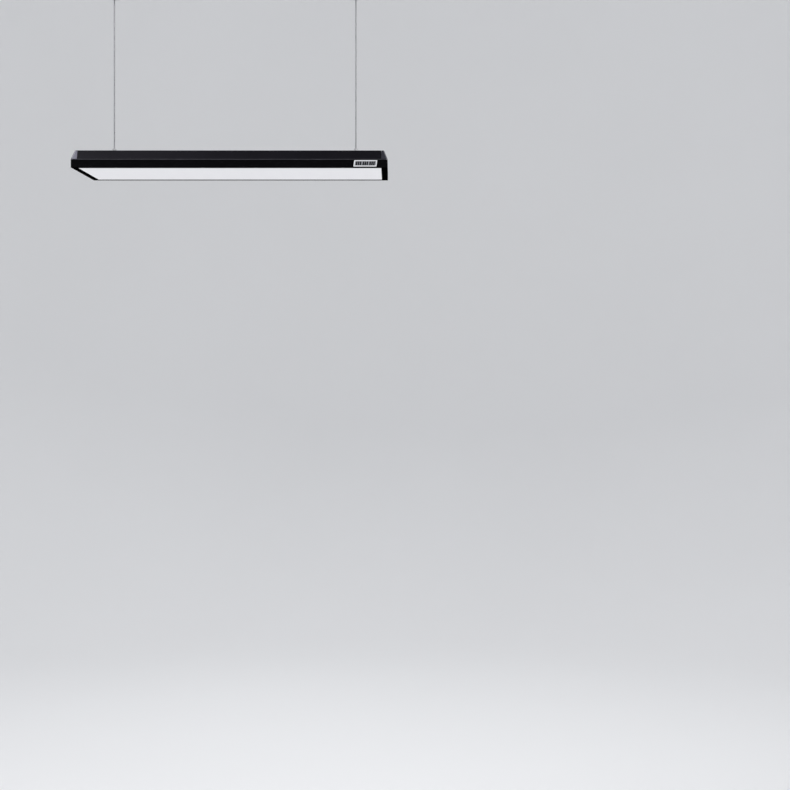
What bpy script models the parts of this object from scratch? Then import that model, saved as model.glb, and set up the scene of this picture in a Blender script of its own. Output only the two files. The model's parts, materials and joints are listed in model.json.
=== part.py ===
"""Hanging LED light for an aquarium: a flat lamp on two steel wires below a ceiling.

Metres, +Z up. The origin is on the ceiling, midway between the two ceiling fittings.
The lamp's length runs along X and its front faces -Y.
"""

import math

import bmesh
import bpy
from mathutils import Matrix, Vector

# Clearances
GAP = 0.0003
SCREW_GAP = 0.0003
SLIDE_GAP = 0.00015
TINY = 1e-6

# Lamp casing, with heights counted up from the lamp's underside
LENGTH = 0.600
WIDTH = 0.200
FRAME_HEIGHT = 0.0142
SLOPE_HEIGHT = 0.0190
SLOPE_INSET = 0.006
BEAD_HEIGHT = 0.0018
BORDER = 0.012
FLANGE = 0.002
FRAME_WALL = 0.002
CORNER_RADIUS = 0.0025
CORNER_STEPS = 4
TOP_RADIUS = 0.0022
TOP_STEPS = 3
WALL = 0.002
TOP_WALL = 0.003
CAP_LENGTH = 0.012
CAP_WALL = 0.0025
GROOVE_WIDTH = 0.004
GROOVE_DEPTH = 0.001
GROOVE_PITCH = 0.012
GROOVES = 6

# Diffuser, seal and reflector
DIFFUSER_STEP = 0.0021
DIFFUSER_RIM = 0.0015
RIM_OVERLAP = 0.004
SEAL_WIDTH = 0.003
SEAL_HEIGHT = 0.0015
SHEET = 0.001
REFLECTOR_DEPTH = 0.0070
REFLECTOR_SLOPE = 0.008
LEG_WIDTH = 0.0062

# Light engine
BOARD = 0.0016
BOARD_MARGIN = 0.004
PAD = 0.0008
SPREADER = 0.0025
RAIL = 0.002
RAIL_WIDTH = 0.006
LED_SIZE = 0.005
LED_HEIGHT = 0.0007
LED_PITCH = 0.040
LED_EDGE = 0.020
BOARD_SCREW_EDGE = 0.012

# Screws: radius of the shank, radius and height of the head, length
END_SCREW = {"shank": 0.00145, "head": 0.0027, "height": 0.0018, "length": 0.017}
FRAME_SCREW = {"shank": 0.00125, "head": 0.0025, "height": 0.0013, "length": 0.0110}
BOARD_SCREW = {"shank": 0.00125, "head": 0.0024, "height": 0.0014, "length": 0.0048}
DRIVER_SCREW = {"shank": 0.00125, "head": 0.0024, "height": 0.0014, "length": 0.0034}
CEILING_SCREW = {"shank": 0.0020, "head": 0.0043, "height": 0.0028, "length": 0.0300}
PORT_FROM_SIDE = 0.020
PORT_HALF = 0.0033
BOSS_RADIUS = 0.0040
FRAME_SCREW_FROM_SIDE = 0.0048
FRAME_SCREW_ROWS = (0.050, 0.215)

# Driver and inlet
DRIVER_LENGTH = 0.130
DRIVER_WIDTH = 0.050
DRIVER_X = 0.075
STANDOFF = 0.0023
STANDOFF_RADIUS = 0.003
DRIVER_SCREW_EDGE = 0.006
DRIVER_HEADROOM = 0.0013
PLUG_DROP = 0.0008
INLET_FROM_END = 0.120
INLET_BACK = 0.045
INLET_RADIUS = 0.006
INLET_BORE = 0.0046
INLET_FLANGE = 0.008
INLET_RISE = 0.0085
INLET_DROP = 0.0075
INLET_NUT = 0.0085
INLET_PIN = 0.0006
LEAD_RADIUS = 0.0011
LEAD_HOLE = 0.0026
LEAD_HOLE_FRONT = 0.045
LEAD_HOLE_X = 0.060

# Badge on the front band
BADGE_LENGTH = 0.0435
BADGE_HEIGHT = 0.0119
BADGE_FROM_END = 0.0195
BADGE_THICK = 0.0008
BADGE_POCKET = 0.0005
BADGE_SLANT = 0.0017

# Suspension
WIRE_RADIUS = 0.00125
WIRE_FROM_END = 0.0626
DROP = 0.340
WIRE_GAP = 0.00035
GRIPPER_WALL = 0.0011
GRIPPER_TOP = 0.0126
COLLAR_TOP = 0.0164
COLLAR_HEAD = 0.002
COLLAR_RADIUS = 0.004
COLLAR_WALL = 0.0008
STUD_RADIUS = 0.004
STUD_LENGTH = 0.010
NUT_HEIGHT = 0.004
NUT_RADIUS = 0.0070
WASHER_RADIUS = 0.0075
WASHER_HEIGHT = 0.0008
BALL_RADIUS = 0.0009
BALL_GAP = 0.0002
CHAMBER_TAPER = 0.0007
SPRING_WALL = 0.0014
SPRING_WIRE = 0.0002
SPRING_TURNS = 3

# Ceiling fittings
BASE_RADIUS = 0.018
BASE_HEIGHT = 0.004
HUB_RADIUS = 0.0135
HUB_DEPTH = 0.012
CUP_DEPTH = 0.028
CUP_SEAT_ROOM = 0.00115
CUP_MOUTH_ROOM = 0.00325
PIVOT_DEPTH = 0.020
STOP_RADIUS = 0.0035

# Worked out from the sizes above
HALF_X = LENGTH / 2
HALF_Y = WIDTH / 2
HEIGHT = FRAME_HEIGHT + SLOPE_HEIGHT
LAMP_Z = -DROP - HEIGHT
CASING_BASE = FRAME_HEIGHT + GAP
BEAD_TOP = FRAME_HEIGHT + BEAD_HEIGHT
RIM_BASE = FLANGE + GAP
RIM_TOP = RIM_BASE + DIFFUSER_RIM
SEAL_BASE = RIM_TOP + GAP
SHEET_BASE = SEAL_BASE + SEAL_HEIGHT + GAP
SHEET_TOP = SHEET_BASE + SHEET
LEG_BASE = SHEET_TOP + GAP
PLATE_TOP = SHEET_BASE + REFLECTOR_DEPTH + SHEET
BOARD_BASE = PLATE_TOP + GAP
BOARD_TOP = BOARD_BASE + BOARD
PAD_BASE = BOARD_TOP + GAP
PAD_TOP = PAD_BASE + PAD
SPREADER_BASE = PAD_TOP + GAP
SPREADER_TOP = SPREADER_BASE + SPREADER
CAVITY_TOP = HEIGHT - TOP_WALL
PORT_HEIGHT = CAVITY_TOP - PORT_HALF
PORT_Y = HALF_Y - PORT_FROM_SIDE
SEAM_X = HALF_X - CAP_LENGTH
LEG_OUT = HALF_Y - FRAME_WALL - GAP
LEG_IN = LEG_OUT - LEG_WIDTH
WINDOW_X = HALF_X - BORDER
WINDOW_Y = HALF_Y - BORDER
WIRE_X = HALF_X - WIRE_FROM_END
INLET_X = HALF_X - INLET_FROM_END
DRIVER_BASE = SPREADER_TOP + STANDOFF + GAP
DRIVER_TOP = DRIVER_BASE + BOARD
WIRE_BORE = WIRE_RADIUS + WIRE_GAP
COLLAR_TUBE = WIRE_BORE + COLLAR_WALL
BALL_REACH = WIRE_RADIUS + BALL_GAP + BALL_RADIUS
CHAMBER_TOP = BALL_REACH + BALL_RADIUS - SLIDE_GAP / 3
CHAMBER_BASE = CHAMBER_TOP + CHAMBER_TAPER
GRIPPER_RADIUS = CHAMBER_BASE + GRIPPER_WALL
SPRING_ROOM = GRIPPER_RADIUS - SPRING_WALL
CUP_SEAT = WIRE_RADIUS + CUP_SEAT_ROOM
CUP_MOUTH = WIRE_RADIUS + CUP_MOUTH_ROOM
SIDES = {"left": -1, "right": 1}

PAINTS = {
    "housing": ((0.0110, 0.0103, 0.0144), 0.6, 0.38),
    "end_cap": ((0.16, 0.16, 0.18), 0.8, 0.35),
    "frame": ((0.0040, 0.0040, 0.0045), 0.0, 0.45),
    "badge": ((0.78, 0.78, 0.78), 1.0, 0.25),
    "diffuser": ((0.86, 0.86, 0.88), 0.0, 0.40),
    "silicone": ((0.70, 0.70, 0.68), 0.0, 0.60),
    "reflector": ((0.90, 0.90, 0.90), 0.0, 0.35),
    "led_board": ((0.88, 0.88, 0.86), 0.0, 0.40),
    "thermal_pad": ((0.35, 0.45, 0.55), 0.0, 0.80),
    "aluminium": ((0.72, 0.73, 0.75), 1.0, 0.35),
    "circuit": ((0.02, 0.16, 0.06), 0.0, 0.40),
    "black_plastic": ((0.012, 0.012, 0.012), 0.0, 0.45),
    "black_rubber": ((0.015, 0.015, 0.015), 0.0, 0.75),
    "lead": ((0.03, 0.03, 0.03), 0.0, 0.50),
    "zinc": ((0.62, 0.62, 0.60), 1.0, 0.35),
    "black_screw": ((0.02, 0.02, 0.02), 1.0, 0.40),
    "nickel": ((0.70, 0.68, 0.64), 1.0, 0.22),
    "satin_metal": ((0.60, 0.60, 0.61), 1.0, 0.35),
    "wire": ((0.75, 0.75, 0.76), 1.0, 0.30),
}


# Making and placing objects

def clear_scene():
    for obj in list(bpy.data.objects):
        bpy.data.objects.remove(obj, do_unlink=True)


def new_collection(name):
    collection = bpy.data.collections.new(name)
    bpy.context.scene.collection.children.link(collection)
    return collection


def new_paint(name, colour, metallic, roughness):
    paint = bpy.data.materials.new(name)
    paint.use_nodes = True
    shader = paint.node_tree.nodes["Principled BSDF"]
    shader.inputs["Base Color"].default_value = (*colour, 1.0)
    shader.inputs["Metallic"].default_value = metallic
    shader.inputs["Roughness"].default_value = roughness
    paint.diffuse_color = (*colour, 1.0)
    return paint


clear_scene()
PARTS = new_collection("hanging_aquarium_light")
CUTTERS = new_collection("cutters")
MATERIALS = {name: new_paint(name, *values) for name, values in PAINTS.items()}


def empty(name, location, parent=None):
    obj = bpy.data.objects.new(name, None)
    obj.empty_display_size = 0.02
    obj.location = location
    obj.parent = parent
    PARTS.objects.link(obj)
    return obj


def part(obj, paint, parent, location=(0, 0, 0)):
    """Puts a finished object among the parts, at a place in its parent's frame."""
    obj.data.materials.clear()
    obj.data.materials.append(MATERIALS[paint])
    obj.parent = parent
    obj.location = location
    PARTS.objects.link(obj)
    return obj


def tool(obj, target):
    """Makes an object a hidden Boolean tool that moves with its target."""
    obj.hide_render = True
    obj.display_type = "WIRE"
    obj.parent = target.parent
    obj.location = target.location
    CUTTERS.objects.link(obj)
    return obj


def boolean(target, obj, operation):
    modifier = target.modifiers.new(obj.name, "BOOLEAN")
    modifier.operation = operation
    modifier.solver = "EXACT"
    modifier.object = tool(obj, target)


def cut(target, obj):
    boolean(target, obj, "DIFFERENCE")


def join(target, obj):
    boolean(target, obj, "UNION")


# Shapes

def mesh_object(name, bm, outward=True):
    if outward:
        bmesh.ops.recalc_face_normals(bm, faces=bm.faces)
    mesh = bpy.data.meshes.new(name)
    bm.to_mesh(mesh)
    bm.free()
    return bpy.data.objects.new(name, mesh)


def blocks(name, spans):
    """Boxes in one mesh, each given as its lowest and highest corner."""
    bm = bmesh.new()
    for low, high in spans:
        size = [b - a for a, b in zip(low, high)]
        middle = [(a + b) / 2 for a, b in zip(low, high)]
        made = bmesh.ops.create_cube(bm, size=1)
        bmesh.ops.scale(bm, vec=size, verts=made["verts"])
        bmesh.ops.translate(bm, vec=middle, verts=made["verts"])
    return mesh_object(name, bm)


def rods(name, ends, radius, sides=16, end_radius=None):
    """Cylinders or cones in one mesh, each from one point to another."""
    bm = bmesh.new()
    for start, end in ends:
        axis = Vector(end) - Vector(start)
        turn = Vector((0, 0, 1)).rotation_difference(axis).to_matrix().to_4x4()
        place = Matrix.Translation((Vector(start) + Vector(end)) / 2) @ turn
        bmesh.ops.create_cone(
            bm, cap_ends=True, segments=sides, radius1=radius,
            radius2=radius if end_radius is None else end_radius,
            depth=axis.length, matrix=place,
        )
    return mesh_object(name, bm)


def rounded_block(name, half_x, half_y, low, high, radius, inset=0.0, top_radius=0.0, base_step=0.0):
    """A block with rounded upright corners. Above base_step its sides lean in by inset."""
    bm = bmesh.new()
    bmesh.ops.create_cube(bm, size=2)
    for v in bm.verts:
        v.co = (v.co.x * half_x, v.co.y * half_y, high if v.co.z > 0 else low)
    upright = [e for e in bm.edges if abs(e.verts[0].co.z - e.verts[1].co.z) > TINY]
    bmesh.ops.bevel(
        bm, geom=upright, offset=radius, segments=CORNER_STEPS, profile=0.5, affect="EDGES",
    )
    if base_step:
        bmesh.ops.bisect_plane(
            bm, geom=bm.verts[:] + bm.edges[:] + bm.faces[:],
            plane_co=(0, 0, low + base_step), plane_no=(0, 0, 1),
        )
    for v in bm.verts:
        if v.co.z > high - TINY:
            v.co.x -= math.copysign(inset, v.co.x)
            v.co.y -= math.copysign(inset, v.co.y)
    if top_radius:
        rim = [e for e in bm.edges if min(v.co.z for v in e.verts) > high - TINY]
        bmesh.ops.bevel(
            bm, geom=rim, offset=top_radius, segments=TOP_STEPS, profile=0.5, affect="EDGES",
        )
    return mesh_object(name, bm)


def turned(name, profile, steps=20, closed=True):
    """A profile of (radius, height) pairs turned about Z, down its outer side first."""
    mesh = bpy.data.meshes.new(name)
    edges = [(i, i + 1) for i in range(len(profile) - 1)]
    if closed:
        edges.append((len(profile) - 1, 0))
    mesh.from_pydata([(r, 0, z) for r, z in profile], edges, [])
    obj = bpy.data.objects.new(name, mesh)
    screw = obj.modifiers.new("turn", "SCREW")
    screw.axis = "Z"
    screw.steps = steps
    screw.render_steps = steps
    screw.use_merge_vertices = True
    screw.merge_threshold = 0.00001
    screw.use_smooth_shade = True
    return obj


def arc(centre, radius, start, end, steps):
    """Points on a circle in a profile's plane, from one angle to another in degrees."""
    turn = [math.radians(start + (end - start) * i / steps) for i in range(steps + 1)]
    return [(centre[0] + radius * math.cos(a), centre[1] + radius * math.sin(a)) for a in turn]


def prism(name, sides, radius, low, high):
    """An upright prism with a regular outline, such as a nut's."""
    return rods(name, [((0, 0, low), (0, 0, high))], radius, sides)


def wire_object(name, points, radius):
    curve = bpy.data.curves.new(name, "CURVE")
    curve.dimensions = "3D"
    curve.bevel_depth = radius
    curve.bevel_resolution = 2
    curve.use_fill_caps = True
    spline = curve.splines.new("POLY")
    spline.points.add(len(points) - 1)
    for point, place in zip(spline.points, points):
        point.co = (*place, 1)
    return bpy.data.objects.new(name, curve)


def lead_route(start, start_way, end, end_way, steps=12):
    """Points on a cubic curve with a short straight at each end, along the given ways."""
    first = Vector(start)
    last = Vector(end)
    a = first + Vector(start_way).normalized() * LEAD_RADIUS
    d = last + Vector(end_way).normalized() * LEAD_RADIUS
    b = a + Vector(start_way)
    c = d + Vector(end_way)
    route = [first]
    for i in range(steps + 1):
        t = i / steps
        s = 1 - t
        route.append(s**3 * a + 3 * s * s * t * b + 3 * s * t * t * c + t**3 * d)
    return route + [last]


def screw_profile(size, socket):
    """A cylinder-head screw, its head's underside at height 0 and its shank going down."""
    head = size["head"]
    height = size["height"]
    shank = size["shank"]
    length = size["length"]
    return [
        (0, height - socket),
        (head * 0.45, height - socket),
        (head * 0.50, height),
        (head * 0.85, height),
        (head, height * 0.7),
        (head, 0),
        (shank, 0),
        (shank, -length + shank),
        (0, -length),
    ]


def screw(name, size, paint, parent, place, turn=(0, 0, 0), steps=8):
    obj = turned(name, screw_profile(size, size["height"] * 0.55), steps, closed=False)
    part(obj, paint, parent, place)
    obj.rotation_euler = turn
    return obj


def outer_half(half, height):
    """How far the casing's side stands from the middle at a height above the underside."""
    rise = max(0.0, height - BEAD_TOP) / (HEIGHT - BEAD_TOP)
    return half - SLOPE_INSET * rise


# Casing

def casing_block(name):
    return rounded_block(
        name, HALF_X, HALF_Y, CASING_BASE, HEIGHT, CORNER_RADIUS,
        SLOPE_INSET, TOP_RADIUS, BEAD_TOP - CASING_BASE,
    )


def leaning_block(name, half_x, half_y, low, high, wall):
    """A plain block whose four sides stay a wall's thickness inside the casing's sides."""
    bm = bmesh.new()
    bmesh.ops.create_cube(bm, size=2)
    for v in bm.verts:
        z = high if v.co.z > 0 else low
        x = outer_half(half_x, z) - wall
        y = outer_half(half_y, z) - wall
        v.co = (math.copysign(x, v.co.x), math.copysign(y, v.co.y), z)
    return mesh_object(name, bm)


def frame_screw_places():
    y = HALF_Y - FRAME_SCREW_FROM_SIDE
    return [(sx * x, sy * y) for sy in (-1, 1) for x in FRAME_SCREW_ROWS for sx in (-1, 1)]


def make_top_housing(lamp):
    housing = part(casing_block("top_housing"), "housing", lamp)
    far = 2 * LENGTH
    end = SEAM_X - GAP / 2
    cut(housing, blocks("housing_ends", [
        ((-far, -far, -far), (-end, far, far)),
        ((end, -far, -far), (far, far, far)),
    ]))
    web_top = SPREADER_BASE - GAP
    cut(housing, leaning_block("housing_hollow", far, HALF_Y, web_top, CAVITY_TOP, WALL))
    rail_in = LEG_IN - GAP
    cut(housing, blocks("housing_opening", [
        ((-far, -rail_in, CASING_BASE - GAP), (far, rail_in, web_top + GAP)),
    ]))
    join(housing, housing_ribs(end))
    cut(housing, housing_holes(far))
    cut(housing, rods("frame_screw_bores", [
        ((x, y, LEG_BASE - GAP), (x, y, CASING_BASE))
        for x, y in frame_screw_places()
    ], FRAME_SCREW["shank"] + SCREW_GAP, 12))
    cut(housing, top_holes())
    cut(housing, top_grooves())
    return housing


def housing_ribs(end):
    """Legs that clamp the reflector, rails that hold the spreader and the screw ports."""
    spans = []
    rail_base = SPREADER_TOP + GAP
    rail_top = rail_base + RAIL
    rail_out = outer_half(HALF_Y, rail_top) - WALL / 2
    for side in (-1, 1):
        leg = sorted((side * LEG_IN, side * LEG_OUT))
        rail = sorted((side * (rail_out - RAIL_WIDTH), side * rail_out))
        port = sorted((side * (PORT_Y - PORT_HALF), side * (PORT_Y + PORT_HALF)))
        spans.append(((-end, leg[0], LEG_BASE), (end, leg[1], CASING_BASE + GAP)))
        spans.append(((-end, rail[0], rail_base), (end, rail[1], rail_top)))
        spans.append(((-end, port[0], PORT_HEIGHT - PORT_HALF), (end, port[1], CAVITY_TOP + GAP)))
    return blocks("housing_ribs", spans)


def housing_holes(far):
    return rods("screw_ports", [
        ((-far, side * PORT_Y, PORT_HEIGHT), (far, side * PORT_Y, PORT_HEIGHT))
        for side in (-1, 1)
    ], END_SCREW["shank"] + SCREW_GAP, 12)


def top_holes():
    """Holes in the top wall for the two gripper studs."""
    low = CAVITY_TOP - TOP_WALL
    return rods("stud_holes", [
        ((side * WIRE_X, 0, low), (side * WIRE_X, 0, HEIGHT + TOP_WALL))
        for side in (-1, 1)
    ], STUD_RADIUS + GAP, 16)


def top_grooves():
    """Shallow cooling grooves along the middle of the top."""
    first = -GROOVE_PITCH * (GROOVES - 1) / 2
    spans = []
    reach = WIRE_X - 2 * WASHER_RADIUS
    for i in range(GROOVES):
        y = first + i * GROOVE_PITCH
        spans.append((
            (-reach, y - GROOVE_WIDTH / 2, HEIGHT - GROOVE_DEPTH),
            (reach, y + GROOVE_WIDTH / 2, HEIGHT + GROOVE_DEPTH),
        ))
    return blocks("cooling_grooves", spans)


def make_end_cap(name, side, lamp):
    cap = part(casing_block(name), "end_cap", lamp)
    far = 2 * LENGTH
    start = SEAM_X + GAP / 2
    cut(cap, blocks(name + "_rest", [
        ((-far, -far, -far) if side > 0 else (-start, -far, -far),
         (start, far, far) if side > 0 else (far, far, far)),
    ]))
    hollow = leaning_block(
        name + "_hollow", HALF_X, HALF_Y, BEAD_TOP + CAP_WALL, CAVITY_TOP, CAP_WALL,
    )
    cut(cap, hollow)
    head_seat = HALF_X - CAP_LENGTH / 2 - 0.001
    boss_out = outer_half(HALF_X, PORT_HEIGHT + BOSS_RADIUS) - GAP
    join(cap, rods(name + "_bosses", [
        ((side * (start + GAP), y * PORT_Y, PORT_HEIGHT), (side * boss_out, y * PORT_Y, PORT_HEIGHT))
        for y in (-1, 1)
    ], BOSS_RADIUS, 16))
    inner = side * (WINDOW_X + GAP)
    outer = side * (HALF_X - FRAME_WALL - GAP)
    join(cap, blocks(name + "_leg", [
        ((min(inner, outer), -LEG_IN + GAP, LEG_BASE), (max(inner, outer), LEG_IN - GAP, CASING_BASE + GAP)),
    ]))
    cut(cap, rods(name + "_holes", [
        ((side * (SEAM_X - GAP), y * PORT_Y, PORT_HEIGHT), (side * far, y * PORT_Y, PORT_HEIGHT))
        for y in (-1, 1)
    ], END_SCREW["shank"] + SCREW_GAP, 12))
    cut(cap, rods(name + "_recesses", [
        ((side * head_seat, y * PORT_Y, PORT_HEIGHT), (side * far, y * PORT_Y, PORT_HEIGHT))
        for y in (-1, 1)
    ], END_SCREW["head"] + SCREW_GAP, 16))
    for row, y in (("front", -1), ("rear", 1)):
        screw(
            f"cap_screw_{name.split('_')[-1]}_{row}", END_SCREW, "black_screw", lamp,
            (side * (head_seat + GAP), y * PORT_Y, PORT_HEIGHT), (0, side * math.pi / 2, 0),
        )
    return cap


def make_lower_frame(lamp):
    frame = part(
        rounded_block("lower_frame", HALF_X, HALF_Y, 0, FRAME_HEIGHT, CORNER_RADIUS), "frame", lamp,
    )
    cut(frame, blocks("frame_window", [
        ((-WINDOW_X, -WINDOW_Y, -FLANGE), (WINDOW_X, WINDOW_Y, 2 * FLANGE)),
    ]))
    cut(frame, blocks("frame_hollow", [
        ((-HALF_X + FRAME_WALL, -HALF_Y + FRAME_WALL, FLANGE),
         (HALF_X - FRAME_WALL, HALF_Y - FRAME_WALL, 2 * FRAME_HEIGHT)),
    ]))
    places = frame_screw_places()
    cut(frame, rods("frame_screw_holes", [
        ((x, y, -FLANGE), (x, y, 2 * FLANGE)) for x, y in places
    ], FRAME_SCREW["shank"] + SCREW_GAP, 12))
    seat = FRAME_SCREW["height"] + GAP
    cut(frame, rods("frame_screw_seats", [
        ((x, y, -FLANGE), (x, y, seat)) for x, y in places
    ], FRAME_SCREW["head"] + SCREW_GAP, 16))
    cut(frame, slanted_plate("badge_pocket", BADGE_POCKET * 2, GAP, -HALF_Y))
    for i, (x, y) in enumerate(places):
        screw(
            f"frame_screw_{i + 1}", FRAME_SCREW, "black_screw", lamp,
            (x, y, FRAME_SCREW["height"]), (math.pi, 0, 0),
        )
    return frame


def slanted_plate(name, thick, margin, y_middle):
    """An upright plate on the front band whose ends lean, its lower edge nearer the left."""
    right = HALF_X - BADGE_FROM_END
    left = right - BADGE_LENGTH
    low = (FRAME_HEIGHT - BADGE_HEIGHT) / 2 + GAP
    bm = bmesh.new()
    bmesh.ops.create_cube(bm, size=1)
    for v in bm.verts:
        up = v.co.z > 0
        x = (right + margin) if v.co.x > 0 else (left - margin)
        z = (low + BADGE_HEIGHT + margin) if up else (low - margin)
        v.co = (x - (0 if up else BADGE_SLANT), y_middle + v.co.y * thick, z)
    return mesh_object(name, bm)


def make_badge(lamp):
    middle = -HALF_Y + BADGE_POCKET - GAP - BADGE_THICK / 2
    part(slanted_plate("name_badge", BADGE_THICK, 0, middle), "badge", lamp)


# Diffuser, seal and reflector

def make_diffuser(lamp):
    x = WINDOW_X - GAP
    y = WINDOW_Y - GAP
    panel = part(blocks("diffuser_panel", [
        ((-WINDOW_X - RIM_OVERLAP, -WINDOW_Y - RIM_OVERLAP + GAP, RIM_BASE),
         (WINDOW_X + RIM_OVERLAP, WINDOW_Y + RIM_OVERLAP - GAP, RIM_TOP)),
    ]), "diffuser", lamp)
    join(panel, blocks("diffuser_step", [
        ((-x, -y, RIM_BASE - DIFFUSER_STEP), (x, y, RIM_BASE + DIFFUSER_RIM / 2)),
    ]))


def make_seal(lamp):
    out_x = WINDOW_X + RIM_OVERLAP - GAP
    out_y = WINDOW_Y + RIM_OVERLAP - 2 * GAP
    top = SEAL_BASE + SEAL_HEIGHT
    seal = part(blocks("diffuser_seal", [
        ((-out_x, -out_y, SEAL_BASE), (out_x, out_y, top)),
    ]), "silicone", lamp)
    in_x = out_x - SEAL_WIDTH
    in_y = out_y - SEAL_WIDTH
    cut(seal, blocks("seal_window", [
        ((-in_x, -in_y, 0), (in_x, in_y, 2 * top)),
    ]))


def reflector_plate_half():
    """Half the length and half the width of the reflector's upper plate."""
    return WINDOW_X - REFLECTOR_SLOPE, WINDOW_Y - REFLECTOR_SLOPE


def make_reflector(lamp):
    """A white tray: a flange, a sloping wall and an upper plate with two windows."""
    plate_x, plate_y = reflector_plate_half()
    plate_z = SHEET_BASE + REFLECTOR_DEPTH
    bm = bmesh.new()
    bmesh.ops.create_cube(bm, size=2)
    for v in bm.verts:
        top = v.co.z > 0
        x = plate_x if top else WINDOW_X
        y = plate_y if top else WINDOW_Y
        v.co = (x * v.co.x, y * v.co.y, plate_z if top else SHEET_BASE)
    floor = [f for f in bm.faces if max(v.co.z for v in f.verts) < plate_z]
    bmesh.ops.recalc_face_normals(bm, faces=bm.faces)
    bmesh.ops.delete(bm, geom=floor, context="FACES_ONLY")
    rim = [e for e in bm.edges if len(e.link_faces) == 1]
    made = bmesh.ops.extrude_edge_only(bm, edges=rim)
    lip = LEG_IN + LEG_WIDTH / 4 - WINDOW_Y
    for v in made["geom"]:
        if isinstance(v, bmesh.types.BMVert):
            v.co.x += math.copysign(lip, v.co.x)
            v.co.y += math.copysign(lip, v.co.y)
    tray = part(mesh_object("reflector", bm, False), "reflector", lamp)
    solid = tray.modifiers.new("sheet", "SOLIDIFY")
    solid.thickness = SHEET
    solid.offset = 1
    solid.use_even_offset = True
    length, width = board_size()
    cut(tray, blocks("reflector_windows", [
        ((side * board_middle() - length / 2 + BOARD_MARGIN, -width / 2 + BOARD_MARGIN, SHEET_TOP),
         (side * board_middle() + length / 2 - BOARD_MARGIN, width / 2 - BOARD_MARGIN, HEIGHT))
        for side in (-1, 1)
    ]))


# Light engine

def board_size():
    plate_x, plate_y = reflector_plate_half()
    return plate_x - 2 * BOARD_MARGIN, 2 * (plate_y - BOARD_MARGIN)


def board_middle():
    return reflector_plate_half()[0] / 2


def led_places(x_middle):
    length, width = board_size()
    columns = int((length - 2 * LED_EDGE) / LED_PITCH) + 1
    rows = int((width - 2 * LED_EDGE) / LED_PITCH) + 1
    x0 = x_middle - LED_PITCH * (columns - 1) / 2
    y0 = -LED_PITCH * (rows - 1) / 2
    return [(x0 + LED_PITCH * i, y0 + LED_PITCH * j) for i in range(columns) for j in range(rows)]


def board_screw_places(x_middle):
    reach = board_size()[0] / 2 - BOARD_SCREW_EDGE
    return [(x_middle - reach, 0), (x_middle + reach, 0)]


def make_led_board(name, side, lamp):
    x = side * board_middle()
    length, width = board_size()
    low = (x - length / 2, -width / 2)
    high = (x + length / 2, width / 2)
    board = part(blocks("led_board_" + name, [
        ((*low, BOARD_BASE), (*high, BOARD_TOP)),
    ]), "led_board", lamp)
    half = LED_SIZE / 2
    join(board, blocks("leds_" + name, [
        ((u - half, v - half, BOARD_BASE - LED_HEIGHT), (u + half, v + half, BOARD_BASE + BOARD / 4))
        for u, v in led_places(x)
    ]))
    pad = part(blocks("thermal_pad_" + name, [
        ((low[0] + GAP, low[1] + GAP, PAD_BASE), (high[0] - GAP, high[1] - GAP, PAD_TOP)),
    ]), "thermal_pad", lamp)
    holes = board_screw_places(x)
    for target, clearance in ((board, SCREW_GAP), (pad, 2 * SCREW_GAP)):
        cut(target, rods(target.name + "_holes", [
            ((u, v, 0), (u, v, HEIGHT)) for u, v in holes
        ], BOARD_SCREW["shank"] + clearance, 12))
    cut(pad, rods("pad_lead_hole_" + name, [
        ((side * LEAD_HOLE_X, -LEAD_HOLE_FRONT, 0), (side * LEAD_HOLE_X, -LEAD_HOLE_FRONT, HEIGHT)),
    ], LEAD_HOLE, 12))
    for i, (u, v) in enumerate(holes):
        screw(
            f"board_screw_{name}_{i + 1}", BOARD_SCREW, "zinc", lamp,
            (u, v, BOARD_BASE - GAP), (math.pi, 0, 0),
        )


def driver_screw_places():
    x = DRIVER_LENGTH / 2 - DRIVER_SCREW_EDGE
    y = DRIVER_WIDTH / 2 - DRIVER_SCREW_EDGE
    return [(DRIVER_X - x, -y), (DRIVER_X + x, y)]


def make_spreader(lamp):
    x = SEAM_X - CAP_WALL
    y = outer_half(HALF_Y, SPREADER_TOP) - WALL - GAP
    spreader = part(blocks("heat_spreader", [
        ((-x, -y, SPREADER_BASE), (x, y, SPREADER_TOP)),
    ]), "aluminium", lamp)
    join(spreader, rods("standoffs", [
        ((u, v, SPREADER_TOP - SPREADER / 2), (u, v, SPREADER_TOP + STANDOFF))
        for u, v in driver_screw_places()
    ], STANDOFF_RADIUS, 12))
    bores = [p for side in (-1, 1) for p in board_screw_places(side * board_middle())]
    cut(spreader, rods("board_screw_bores", [
        ((u, v, 0), (u, v, HEIGHT)) for u, v in bores
    ], BOARD_SCREW["shank"] + SCREW_GAP, 12))
    cut(spreader, rods("driver_screw_bores", [
        ((u, v, SPREADER_TOP), (u, v, HEIGHT)) for u, v in driver_screw_places()
    ], DRIVER_SCREW["shank"] + SCREW_GAP, 12))
    cut(spreader, rods("lead_holes", [
        ((side * LEAD_HOLE_X, -LEAD_HOLE_FRONT, 0), (side * LEAD_HOLE_X, -LEAD_HOLE_FRONT, HEIGHT))
        for side in (-1, 1)
    ], LEAD_HOLE, 12))


# Driver, inlet and leads

def driver_roof():
    """The height that the driver's tallest components reach, just below the housing's top."""
    return CAVITY_TOP - DRIVER_HEADROOM


def lead_ends():
    """Where the leads join the driver: from the inlet, and to the left and right board."""
    high = (DRIVER_TOP + driver_roof()) / 2
    return {
        "supply": (DRIVER_X + DRIVER_LENGTH / 2 + GAP, DRIVER_WIDTH / 4, high),
        "left": (DRIVER_X - DRIVER_LENGTH / 2 - GAP, -DRIVER_WIDTH / 4, high),
        "right": (DRIVER_X + DRIVER_LENGTH / 8, -DRIVER_WIDTH / 2 - GAP, high),
    }


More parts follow.
